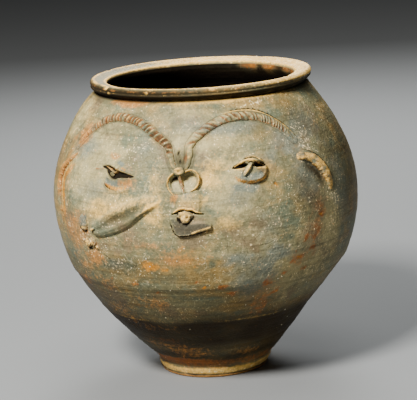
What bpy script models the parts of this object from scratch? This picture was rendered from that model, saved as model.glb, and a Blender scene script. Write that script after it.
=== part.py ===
"""Face urn: a hollow, turned clay vessel with a modelled face on its front.

Metres, +Z up, the front of the face looks along -Y and the vessel stands on the
floor at z = 0.  The whole urn is one fired piece, so it is one solid: the turned
wall first, then the clay that the potter laid on it, then the cuts of the knife.
"""

import math

import bmesh
import bpy
import numpy as np
from mathutils import Vector

# Heights of the turned wall, stacked from the floor up
FOOT_RISE = 0.0104       # floor to the waist above the moulded foot
CONE_RISE = 0.0895       # waist to the knuckle where the cone turns into the belly
BELLY_RISE = 0.0566      # knuckle to the widest ring
SHOULDER_RISE = 0.0930   # widest ring to the crease under the lip
LIP_RISE = 0.0105        # crease to the top of the lip

# Radii of the outside, and how far the rings between them are set in
FOOT_RADIUS = 0.0496     # upper edge of the foot
FOOT_TAPER = 0.0026      # how much narrower the foot is near the floor
WAIST_INSET = 0.0003     # waist inside the foot's upper edge
BELLY_RADIUS = 0.1321
KNUCKLE_INSET = 0.0114   # knuckle inside the widest ring
LIP_RADIUS = 0.0952
LIP_OVERHANG = 0.0039    # lip beyond the crease under it
LIP_WIDTH = 0.0150       # lip's outer edge to the throat

# Curvature of the wall between those rings
CONE_SWELL = 0.0032      # how far the cone bulges past a straight line
SHOULDER_FLAT = 0.0021   # how far the shoulder falls short of a true oval

# Thickness of the clay
WALL = 0.0062
FLOOR = 0.0095
LIP_THICKNESS = 0.0078   # height of the lip's outer face
LIP_ROUNDING = 0.0028    # rounding of the lip's top edge
THROAT_DROP = 0.0038     # how far the top of the lip falls towards the throat
THROAT_DEPTH = 0.0060    # upright band inside the throat
FOOT_EDGE = 0.0012       # rounding under the foot

# The turned wall isn't quite straight: (share of the height, sideways shift)
SWAY = ((0.00, 0.0), (0.06, 0.0012), (0.14, -0.0006), (0.22, -0.0020), (0.30, -0.0008), (0.38, 0.0012),
        (0.48, 0.0015), (0.66, 0.0008), (0.90, 0.0004), (1.00, 0.0028))

# How finely the wall is faceted
COLUMNS = 72
CONE_ROWS = 7
BELLY_ROWS = 5
SHOULDER_ROWS = 9
INNER_ROWS = 11

# Depth that laid-on clay is pressed into the wall
BED = 0.40 * WALL

WAIST_Z = FOOT_RISE
KNUCKLE_Z = WAIST_Z + CONE_RISE
BELLY_Z = KNUCKLE_Z + BELLY_RISE
CREASE_Z = BELLY_Z + SHOULDER_RISE
TOP_Z = CREASE_Z + LIP_RISE
WAIST_RADIUS = FOOT_RADIUS - WAIST_INSET
KNUCKLE_RADIUS = BELLY_RADIUS - KNUCKLE_INSET
CREASE_RADIUS = LIP_RADIUS - LIP_OVERHANG
THROAT_RADIUS = LIP_RADIUS - LIP_WIDTH

# Every place on the face is (degrees from the midline, share of the shoulder rise
# above the widest ring).  The face is modelled by hand, so its halves differ a little.

# Brows: from the nose up over the eye and down to the temple
LEFT_BROW = ((-2.3, 0.450), (-3.3, 0.515), (-4.0, 0.580), (-5.6, 0.650), (-9.5, 0.715), (-15.0, 0.790),
             (-21.5, 0.845), (-29.5, 0.864), (-37.0, 0.846), (-43.0, 0.793), (-48.6, 0.722), (-53.2, 0.612))
RIGHT_BROW = ((2.2, 0.450), (1.9, 0.515), (2.3, 0.590), (4.4, 0.675), (9.0, 0.750), (15.2, 0.820),
              (21.0, 0.850), (27.5, 0.852), (34.0, 0.830), (40.2, 0.778), (45.3, 0.697), (49.4, 0.600))
BROW_WIDTH = 0.0078
BROW_HEIGHT = 0.0031
BROW_STROKE_PITCH = 0.0041   # spacing of the knife strokes across the brow
BROW_STROKE_DEPTH = 0.0012
BROW_STROKE_SLANT = 0.0020   # how far a stroke leans along the brow
BROW_STROKE_START = 0.20     # share of the strip, from the nose, with no strokes
RIDGE_WIDTH = 0.0062         # the plain ridge that runs down to the nose

# Ears: a raised flange curving back and down from the temple
LEFT_EAR = ((-51.3, 0.560), (-55.5, 0.508), (-59.4, 0.455), (-62.3, 0.385), (-63.2, 0.310),
            (-61.6, 0.235), (-59.4, 0.150), (-58.4, 0.050), (-58.4, -0.040), (-58.9, -0.120))
RIGHT_EAR = ((47.9, 0.463), (51.4, 0.448), (54.9, 0.413), (57.8, 0.362), (59.9, 0.300), (61.2, 0.235),
             (61.6, 0.165), (60.6, 0.100), (58.6, 0.045))
EAR_WIDTH = 0.0078
EAR_HEIGHT = 0.0036

# Eyes: an almond pad, split by the knife, with a pellet for the eyeball
LEFT_EYE = (-26.0, 0.422)
RIGHT_EYE = (26.2, 0.424)
LEFT_EYE_TILT = -0.16
RIGHT_EYE_TILT = -0.05
EYE_LENGTH = 0.0296
EYE_WIDTH = 0.0225
EYE_HEIGHT = 0.0044
EYE_SLIT_WIDTH = 0.0032
EYE_PELLET_LENGTH = 0.0112
EYE_PELLET_WIDTH = 0.0062
EYE_PELLET_DROP = 0.0018

# Nose: a small knob where the brows meet, over a mound with two scooped nostrils
NOSE_TIP = (-0.4, 0.448)
NOSE_TIP_WIDTH = 0.0076
NOSE_TIP_HEIGHT = 0.0060
NOSE = ((-1.2, 0.478), (-3.6, 0.455), (-5.2, 0.392), (-4.8, 0.328), (-3.0, 0.266), (1.2, 0.252),
        (4.2, 0.272), (6.6, 0.318), (7.7, 0.375), (7.1, 0.430), (4.9, 0.464), (1.6, 0.470))
NOSE_HEIGHT = 0.0046
NOSE_FALL = 0.0038           # how much lower the mound is at its bottom edge
LEFT_NOSTRIL = ((-0.8, 0.434), (-2.8, 0.420), (-4.0, 0.380), (-3.7, 0.333), (-2.4, 0.290), (0.2, 0.272),
                (-0.1, 0.330), (-0.5, 0.385))
RIGHT_NOSTRIL = ((0.8, 0.428), (2.7, 0.436), (4.7, 0.437), (6.2, 0.410), (6.5, 0.372), (5.4, 0.322),
                 (3.6, 0.288), (1.9, 0.270), (1.2, 0.325), (0.8, 0.380))
NOSTRIL_DEPTH = 0.0012       # deepest point of a scoop, below the wall's surface

# Mouth: a low muzzle, a cut under it, a pellet in the cut and a pad for the chin
MUZZLE = ((-4.2, 0.248), (-3.6, 0.190), (-2.9, 0.134), (2.2, 0.128), (6.9, 0.134), (7.4, 0.196), (7.3, 0.250),
          (2.0, 0.232))
MUZZLE_HEIGHT = 0.0017
MOUTH_LEFT = (-3.1, 0.106)
MOUTH_RIGHT = (7.7, 0.094)
MOUTH_OPENING = 0.0032
MOUTH_DEPTH = 0.36 * WALL
TONGUE_PLACE = (0.9, 0.066)
TONGUE_DIAMETER = 0.0104
TONGUE_HEIGHT = 0.0048
CHIN = ((-4.2, 0.052), (-3.7, -0.020), (-3.2, -0.078), (-1.6, -0.100), (2.2, -0.100), (6.0, -0.084),
        (9.9, -0.054), (10.8, -0.034), (7.0, -0.010), (2.5, 0.012))
CHIN_HEIGHT = 0.0034

# Apotropaic relief on the cheek: a tapering rod with two pellets at its root
ROD_ROOT = (-37.0, -0.100)
ROD_MIDDLE = (-22.6, 0.030)
ROD_TIP = (-8.0, 0.172)
ROD_WIDTH = 0.0174
ROD_HEIGHT = 0.0040
ROD_GROOVE = 0.0012          # dent along the rod between its two ridges
PELLET_PLACES = ((-42.2, -0.066), (-38.8, -0.232))
PELLET_LENGTHS = (0.0125, 0.0112)
PELLET_WIDTH = 0.0092
PELLET_HEIGHT = 0.0044

CLAY_COLOUR = (0.29, 0.27, 0.20, 1.0)
CLAY_ROUGHNESS = 0.62


def clear_scene():
    """Remove whatever the scene already holds."""
    for thing in list(bpy.data.objects):
        bpy.data.objects.remove(thing, do_unlink=True)


def clay():
    """The fired clay: smoked grey-green, matt."""
    material = bpy.data.materials.new("fired_clay")
    material.use_nodes = True
    shader = material.node_tree.nodes["Principled BSDF"]
    shader.inputs["Base Color"].default_value = CLAY_COLOUR
    shader.inputs["Roughness"].default_value = CLAY_ROUGHNESS
    shader.inputs["Metallic"].default_value = 0.0
    return material


# The turned wall

def oval_height(radius, rise):
    """Half-height of the oval BELLY_RADIUS wide that has the given radius at that rise."""
    return rise / math.sqrt(1.0 - (radius / BELLY_RADIUS) ** 2)


def outer_radius(z):
    """Radius of the turned wall's outside at height z, from the waist to the crease."""
    if z <= KNUCKLE_Z:
        t = (z - WAIST_Z) / CONE_RISE
        return WAIST_RADIUS + t * (KNUCKLE_RADIUS - WAIST_RADIUS) + 4.0 * CONE_SWELL * t * (1.0 - t)
    if z <= BELLY_Z:
        share = (BELLY_Z - z) / oval_height(KNUCKLE_RADIUS, BELLY_RISE)
        return BELLY_RADIUS * math.sqrt(1.0 - share * share)
    t = (z - BELLY_Z) / SHOULDER_RISE
    share = (z - BELLY_Z) / oval_height(CREASE_RADIUS, SHOULDER_RISE)
    return BELLY_RADIUS * math.sqrt(1.0 - share * share) - 6.75 * SHOULDER_FLAT * t * t * (1.0 - t)


def slope(z):
    """Change of the outer radius with height at z."""
    step = 0.0005
    low, high = max(z - step, WAIST_Z), min(z + step, CREASE_Z)
    return (outer_radius(high) - outer_radius(low)) / (high - low)


def sway(z):
    """Sideways shift of the axis at height z."""
    share, shift = np.array(SWAY).T
    place = z / TOP_Z
    span = min(max(int(np.searchsorted(share, place, side="right")) - 1, 0), len(share) - 2)
    t = (place - share[span]) / (share[span + 1] - share[span])
    return float(shift[span] + (shift[span + 1] - shift[span]) * t * t * (3.0 - 2.0 * t))


def outer_outline():
    """Outside of the vessel as (radius, height) points from the floor to the lip's crest."""
    low = FOOT_RADIUS - FOOT_TAPER
    points = [(low - FOOT_EDGE, 0.0), (low, FOOT_EDGE), (FOOT_RADIUS, 0.84 * FOOT_RISE)]
    heights = [WAIST_Z + CONE_RISE * i / CONE_ROWS for i in range(CONE_ROWS)]
    heights += [KNUCKLE_Z + BELLY_RISE * i / BELLY_ROWS for i in range(BELLY_ROWS)]
    heights += [BELLY_Z + SHOULDER_RISE * i / SHOULDER_ROWS for i in range(SHOULDER_ROWS + 1)]
    points += [(outer_radius(z), z) for z in heights]
    lip_base = TOP_Z - LIP_THICKNESS
    points += [(LIP_RADIUS - 0.4 * LIP_ROUNDING, lip_base),
               (LIP_RADIUS, TOP_Z - 0.5 * LIP_THICKNESS),
               (LIP_RADIUS - 0.3 * LIP_ROUNDING, TOP_Z - 0.5 * LIP_ROUNDING),
               (LIP_RADIUS - LIP_ROUNDING, TOP_Z)]
    return points


def inner_outline():
    """Inside of the vessel as (radius, height) points from the throat down to the floor."""
    throat_top = TOP_Z - THROAT_DROP
    throat_foot = throat_top - THROAT_DEPTH
    points = [(THROAT_RADIUS, throat_top), (THROAT_RADIUS, throat_foot)]
    for z in np.linspace(throat_foot - 1.2 * WALL, FLOOR + WALL, INNER_ROWS):
        lean = slope(z)
        out = 1.0 / math.hypot(1.0, lean)
        points.append((outer_radius(z) - WALL * out, z + WALL * lean * out))
    points = [p for i, p in enumerate(points) if i < 2 or FLOOR + 0.5 * WALL < p[1] < throat_foot]
    points.append((points[-1][0] - 1.5 * WALL, FLOOR))
    return points


def ring(mesh, radius, z, columns):
    """A level ring of vertices round the swaying axis."""
    shift = sway(z)
    turns = [2.0 * math.pi * i / columns for i in range(columns)]
    return [mesh.verts.new((shift + radius * math.sin(a), -radius * math.cos(a), z)) for a in turns]


def skin(mesh, many, few):
    """Faces between two rings, the second with as many vertices as the first or half."""
    n = len(many)
    for i in range(len(few)):
        j = (i + 1) % len(few)
        if len(few) == n:
            mesh.faces.new((many[i], many[j], few[j], few[i]))
            continue
        a, b, c = many[2 * i], many[2 * i + 1], many[(2 * i + 2) % n]
        mesh.faces.new((a, b, few[i]))
        mesh.faces.new((b, few[j], few[i]))
        mesh.faces.new((b, c, few[j]))


def build_wall():
    """The hollow turned vessel, one closed shell."""
    mesh = bmesh.new()
    inner = inner_outline()
    rings = [ring(mesh, r, z, COLUMNS) for r, z in outer_outline() + inner[:1]]
    rings += [ring(mesh, r, z, COLUMNS // 2) for r, z in inner[1:]]
    for first, second in zip(rings, rings[1:]):
        skin(mesh, first, second)
    mesh.faces.new(rings[0])
    mesh.faces.new(rings[-1])
    bmesh.ops.recalc_face_normals(mesh, faces=mesh.faces)
    data = bpy.data.meshes.new("face_urn")
    mesh.to_mesh(data)
    mesh.free()
    urn = bpy.data.objects.new("face_urn", data)
    bpy.context.scene.collection.objects.link(urn)
    return urn


# Places on the wall

def on_wall(place, lift=0.0):
    """The point at a (degrees, share) place, lifted along the wall's outward normal."""
    z = BELLY_Z + place[1] * SHOULDER_RISE
    lean = slope(z)
    out = 1.0 / math.hypot(1.0, lean)
    radius = outer_radius(z) + lift * out
    turn = math.radians(place[0])
    return Vector((sway(z) + radius * math.sin(turn), -radius * math.cos(turn), z - lift * lean * out))


def per_metre(share):
    """Degrees per metre round the wall, and shares per metre up it, at a share of the shoulder."""
    z = BELLY_Z + share * SHOULDER_RISE
    return np.array((math.degrees(1.0) / outer_radius(z), 1.0 / (SHOULDER_RISE * math.hypot(1.0, slope(z)))))


def distance(first, second):
    """Distance in metres between two places on the wall."""
    return (on_wall(second) - on_wall(first)).length


def smooth_curve(points, count):
    """Places evenly spaced along a smooth curve through the given places."""
    knots = np.array(points, float)
    steps = [distance(a, b) for a, b in zip(points, points[1:])]
    place = np.concatenate([[0.0], np.cumsum(steps)])
    tangent = np.gradient(knots, place, axis=0)
    pick = np.linspace(0.0, place[-1], count)
    span = np.clip(np.searchsorted(place, pick, side="right") - 1, 0, len(place) - 2)
    gap = (place[span + 1] - place[span])[:, None]
    t = (pick - place[span])[:, None] / gap
    return ((1 + 2 * t) * (1 - t) ** 2 * knots[span] + t * (1 - t) ** 2 * gap * tangent[span]
            + t * t * (3 - 2 * t) * knots[span + 1] + t * t * (t - 1) * gap * tangent[span + 1])


def oval(middle, length, width, tilt=0.0, count=12):
    """Places round an oval on the wall, tilted by an angle in radians."""
    scale = per_metre(middle[1])
    points = []
    for i in range(count):
        turn = 2.0 * math.pi * (i + 0.5) / count
        x, y = 0.5 * length * math.cos(turn), 0.5 * width * math.sin(turn)
        turned = np.array((x * math.cos(tilt) - y * math.sin(tilt), x * math.sin(tilt) + y * math.cos(tilt)))
        points.append(np.array(middle) + turned * scale)
    return points


# Solids laid on or cut into the wall

def loft(name, rings, group):
    """A closed solid through rings of points, kept as a hidden operand of a group."""
    mesh = bmesh.new()
    loops = [[mesh.verts.new(p) for p in points] for points in rings]
    for first, second in zip(loops, loops[1:]):
        skin(mesh, first, second)
    mesh.faces.new(loops[0])
    mesh.faces.new(loops[-1])
    bmesh.ops.triangulate(mesh, faces=mesh.faces)
    bmesh.ops.recalc_face_normals(mesh, faces=mesh.faces)
    data = bpy.data.meshes.new(name)
    mesh.to_mesh(data)
    mesh.free()
    solid = bpy.data.objects.new(name, data)
    solid.hide_render = True
    solid.display_type = "WIRE"
    group.objects.link(solid)


def strip(name, path, width, height, section, group, slant=0.0):
    """A strip of clay along a path.

    width and height give metres at a share of the path, section the crown's
    (sideways, upward) shares, and slant the metres by which it leans along the path.
    """
    rings = []
    last = len(path) - 1
    for i, place in enumerate(path):
        scale = per_metre(place[1])
        along = (path[min(i + 1, last)] - path[max(i - 1, 0)]) / scale
        along /= np.linalg.norm(along)
        side = np.array((-along[1], along[0]))
        lean = slant if 0 < i < last else 0.0
        half, crown = 0.5 * width(i / last), height(i / last)
        rows = [(-1.0, -BED)] + [(s, crown * k) for s, k in section] + [(1.0, -BED)]
        rings.append([on_wall(place + (side * s * half + along * s * lean) * scale, lift) for s, lift in rows])
    loft(name, rings, group)


def pad(name, outline, height, group, crown=0.72, edge=0.55):
    """A low pad on an outline, its crown drawn in; height gives metres at a place."""
    outline = np.array(outline, float)
    middle = outline.mean(axis=0)
    drawn = middle + (outline - middle) * crown
    rings = [[on_wall(p, -BED) for p in outline],
             [on_wall(p, edge * height(p)) for p in outline],
             [on_wall(p, height(p)) for p in drawn]]
    loft(name, rings, group)


def pellet(name, middle, length, width, height, group):
    """A rounded lump of clay, length up the wall."""
    levels = ((1.00, -BED), (1.00, 0.15 * height), (0.86, 0.62 * height), (0.48, height))
    rings = [[on_wall(p, lift) for p in oval(middle, width * share, length * share, count=10)]
             for share, lift in levels]
    loft(name, rings, group)


def cut(name, outline, bottom, top, group, taper=0.55):
    """A cut that narrows from the outline at a height down to its bottom, both off the wall."""
    outline = np.array(outline, float)
    middle = outline.mean(axis=0)
    drawn = middle + (outline - middle) * taper
    loft(name, [[on_wall(p, bottom(p)) for p in drawn], [on_wall(p, top) for p in outline]], group)


# The face

def brow(name, knots, group):
    """One brow: a plain ridge from the nose, then the strip with knife strokes."""
    length = sum(distance(a, b) for a, b in zip(knots, knots[1:]))
    strokes = max(4, round((1.0 - BROW_STROKE_START) * length / BROW_STROKE_PITCH))
    plain = max(3, round(2 * strokes * BROW_STROKE_START / (3.0 * (1.0 - BROW_STROKE_START))))
    split = BROW_STROKE_START
    fine = smooth_curve(knots, 400)
    shares = np.concatenate([np.linspace(0.0, split, plain + 1)[:-1], np.linspace(split, 1.0, 2 * strokes + 1)])
    path = np.array([fine[round(s * 399)] for s in shares])

    def share_at(t):
        return shares[round(t * (len(path) - 1))]

    def width(t):
        s = share_at(t)
        return (RIDGE_WIDTH + (BROW_WIDTH - RIDGE_WIDTH) * min(1.0, s / split)) * min(1.0, 0.5 + 4.0 * (1.0 - s))

    def height(t):
        s = share_at(t)
        station = round(t * (len(path) - 1)) - plain
        stroke = BROW_STROKE_DEPTH if station > 0 and station % 2 else 0.0
        rise = BROW_HEIGHT * (1.0 + 0.35 * max(0.0, 1.0 - s / split))
        return (rise - stroke) * min(1.0, 0.35 + 6.0 * (1.0 - s))

    section = ((-1.0, 0.30), (-0.45, 0.92), (0.45, 0.92), (1.0, 0.30))
    strip(name, path, width, height, section, group, slant=BROW_STROKE_SLANT / 2.0)


def ear(name, knots, group):
    """One ear: a curved flange, steeper on the side away from the face."""
    section = ((-1.0, 0.25), (-0.1, 0.78), (0.55, 1.0), (1.0, 0.45))
    if knots[0][0] < 0.0:
        section = tuple((-s, k) for s, k in reversed(section))

    def taper(t):
        return min(1.0, 0.15 + 3.4 * t, 0.10 + 2.0 * (1.0 - t))

    strip(name, smooth_curve(knots, 18), lambda t: EAR_WIDTH * (0.5 + 0.5 * taper(t)),
          lambda t: EAR_HEIGHT * taper(t), section, group)


def eye(name, middle, tilt, laid, cuts, late):
    """One eye: the almond pad, the slit across it and the pellet in the slit."""
    pad(f"{name}_pad", oval(middle, EYE_LENGTH, EYE_WIDTH, tilt, 14), lambda p: EYE_HEIGHT, laid, 0.66, 0.30)
    cut(f"{name}_slit", oval(middle, EYE_LENGTH, EYE_SLIT_WIDTH, tilt, 10),
        lambda p: 0.0, 1.5 * EYE_HEIGHT, cuts, taper=0.75)
    lowered = (middle[0], middle[1] - EYE_PELLET_DROP * per_metre(middle[1])[1])
    pellet(f"{name}_pellet", lowered, EYE_PELLET_LENGTH, EYE_PELLET_WIDTH, 1.05 * EYE_HEIGHT, late)


def nose(laid, cuts):
    """The mound of the nose, its knob and its two nostrils."""
    low = min(s for a, s in NOSE)
    rise = max(s for a, s in NOSE) - low

    def fall(place):
        return (place[1] - low) / rise

    pad("nose_mound", NOSE, lambda p: NOSE_HEIGHT - NOSE_FALL * (1.0 - fall(p)), laid, crown=0.88, edge=0.70)
    pellet("nose_tip", NOSE_TIP, NOSE_TIP_WIDTH, NOSE_TIP_WIDTH, NOSE_TIP_HEIGHT, laid)
    for name, outline in (("nostril_left", LEFT_NOSTRIL), ("nostril_right", RIGHT_NOSTRIL)):
        cut(name, outline, lambda p: -NOSTRIL_DEPTH * fall(p), 1.6 * NOSE_HEIGHT, cuts, taper=0.80)


def mouth(laid, cuts, late):
    """The muzzle, the cut of the mouth, the pellet in it and the chin."""
    pad("muzzle", MUZZLE, lambda p: MUZZLE_HEIGHT, laid, crown=0.85, edge=0.40)
    middle = (0.5 * (MOUTH_LEFT[0] + MOUTH_RIGHT[0]), 0.5 * (MOUTH_LEFT[1] + MOUTH_RIGHT[1]))
    opening = oval(middle, distance(MOUTH_LEFT, MOUTH_RIGHT), MOUTH_OPENING, -0.05, 10)
    cut("mouth_cut", opening, lambda p: -MOUTH_DEPTH, 2.0 * MUZZLE_HEIGHT, cuts)
    pellet("tongue", TONGUE_PLACE, 0.92 * TONGUE_DIAMETER, TONGUE_DIAMETER, TONGUE_HEIGHT, late)
    low = min(s for a, s in CHIN)
    rise = max(s for a, s in CHIN) - low
    pad("chin", CHIN, lambda p: CHIN_HEIGHT * (1.0 - 0.75 * (p[1] - low) / rise), laid, crown=0.82, edge=0.72)


def cheek_relief(laid):
    """The tapering rod across the cheek and the two pellets at its root."""
    dent = 1.0 - ROD_GROOVE / ROD_HEIGHT
    section = ((-1.0, 0.15), (-0.55, 0.95), (-0.05, dent), (0.45, 0.90), (1.0, 0.12))

    def taper(t):
        return min(1.0, 0.62 + 1.3 * t, 0.20 + 1.35 * (1.0 - t))

    strip("cheek_rod", smooth_curve((ROD_ROOT, ROD_MIDDLE, ROD_TIP), 14), lambda t: ROD_WIDTH * taper(t),
          lambda t: ROD_HEIGHT * min(1.0, 0.4 + 4.0 * t, 0.4 + 4.0 * (1.0 - t)), section, laid)
    for i, (place, length) in enumerate(zip(PELLET_PLACES, PELLET_LENGTHS)):
        pellet(f"cheek_pellet_{i + 1}", place, length, PELLET_WIDTH, PELLET_HEIGHT, laid)


def solid_group(name):
    """A collection of solids for one Boolean step."""
    group = bpy.data.collections.new(name)
    bpy.context.scene.collection.children.link(group)
    return group


def apply_group(urn, group, operation):
    """Unite or cut the urn with each solid of a group, in order."""
    for solid in group.objects:
        step = urn.modifiers.new(solid.name, "BOOLEAN")
        step.operation = operation
        step.solver = "EXACT"
        step.object = solid


def main():
    """Build the urn."""
    clear_scene()
    urn = build_wall()
    laid, cuts, late = (solid_group(n) for n in ("laid_on", "cut_in", "pressed_in"))
    brow("brow_left", LEFT_BROW, laid)
    brow("brow_right", RIGHT_BROW, laid)
    ear("ear_left", LEFT_EAR, laid)
    ear("ear_right", RIGHT_EAR, laid)
    eye("eye_left", LEFT_EYE, LEFT_EYE_TILT, laid, cuts, late)
    eye("eye_right", RIGHT_EYE, RIGHT_EYE_TILT, laid, cuts, late)
    nose(laid, cuts)
    mouth(laid, cuts, late)
    cheek_relief(laid)
    apply_group(urn, laid, "UNION")
    apply_group(urn, cuts, "DIFFERENCE")
    apply_group(urn, late, "UNION")
    urn.data.materials.append(clay())


main()
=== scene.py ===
"""A hollow turned clay urn with a hand-modelled face, dressed for its picture.

Metres, +Z up, the middle of the face looks along -Y and the urn stands at z = 0.
The turned wall comes from Geometry Nodes and takes its relief from the classes of
the face; what was laid on as clay of its own is a piece of its own.
A place on the wall is (degrees round from the middle of the face, share of the
shoulder's rise above the widest ring). Numbers in the tables of the face are places,
metres and strengths from 0 to 1.
"""

import logging
import math
from collections.abc import Callable, Sequence
from dataclasses import dataclass
from enum import Enum

import bmesh
import bpy
import numpy as np
from mathutils import Matrix, Vector

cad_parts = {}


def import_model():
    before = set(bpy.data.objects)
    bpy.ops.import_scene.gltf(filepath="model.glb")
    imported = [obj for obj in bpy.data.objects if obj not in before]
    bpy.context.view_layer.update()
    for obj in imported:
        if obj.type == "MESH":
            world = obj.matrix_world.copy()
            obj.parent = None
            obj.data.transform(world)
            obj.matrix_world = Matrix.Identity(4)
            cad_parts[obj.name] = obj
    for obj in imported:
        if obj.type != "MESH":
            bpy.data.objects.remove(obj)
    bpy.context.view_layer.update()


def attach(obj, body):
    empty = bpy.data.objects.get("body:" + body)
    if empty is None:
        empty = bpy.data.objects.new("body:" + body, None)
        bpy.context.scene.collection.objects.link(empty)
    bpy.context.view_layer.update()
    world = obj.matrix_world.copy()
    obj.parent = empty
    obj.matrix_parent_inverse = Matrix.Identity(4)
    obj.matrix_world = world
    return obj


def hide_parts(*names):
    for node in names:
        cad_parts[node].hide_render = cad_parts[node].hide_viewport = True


LOG = logging.getLogger("face_urn")
Place = tuple[float, float]
Array = np.ndarray
BODY = "root"
NODE = "face_urn"
SINK = 0.0002  # how far the wall round a pad is pressed in, in metres
STROKE_DARK = 900.0  # a knife stroke is painted fully in shade where it is one part of this of a metre deep
DENT_DARK = 0.0011  # depth in metres at which a pellet's dent is painted fully in shade
FLECK_SIZE = 0.0125  # half height of a fleck of size 1, in shares


# Shapes of numbers


def smooth(low: float, high: float, value: Array) -> Array:
    """Smooth step from 0 at low to 1 at high."""
    t = np.clip((value - low) / (high - low), 0.0, 1.0)
    return t * t * (3.0 - 2.0 * t)


def hump(value: Array, width: float) -> Array:
    """Rounded hump, 1 at 0 and a third at one width away."""
    return np.exp(-((value / width) ** 2))


def both_ends(along: Array, first: float, last: float) -> Array:
    """Fade to 0 at both ends of a line, over a first and a last share of its length."""
    return smooth(0.0, first, along) * smooth(0.0, last, 1.0 - along)


def lengths(points: Array) -> Array:
    """How far along a line each of its points lies."""
    return np.concatenate([[0.0], np.cumsum(np.linalg.norm(np.diff(points, axis=0), axis=1))])


def wobble(points: Array, size: float, seed: int) -> Array:
    """Smooth noise from -1 to 1 at points, with lumps of about a size.

    Args:
        points: Positions, one row each.
        size: Distance between lumps in metres.
        seed: Which noise.

    Returns:
        One value for each point.
    """
    draw = np.random.default_rng(seed)
    total = np.zeros(len(points))
    for octave in range(5):
        way = draw.normal(size=3)
        way *= (2.0 * math.pi / size) * (1.0 + 0.45 * octave) / np.linalg.norm(way)
        total += np.sin(points @ way + draw.uniform(0.0, 6.28)) / (1.0 + 0.3 * octave)
    return total / 2.6


# The turned wall


class Zone(Enum):
    """What a ring of the wall belongs to."""

    FOOT = 0
    OUTSIDE = 1
    LIP = 2
    INSIDE = 3


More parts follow.
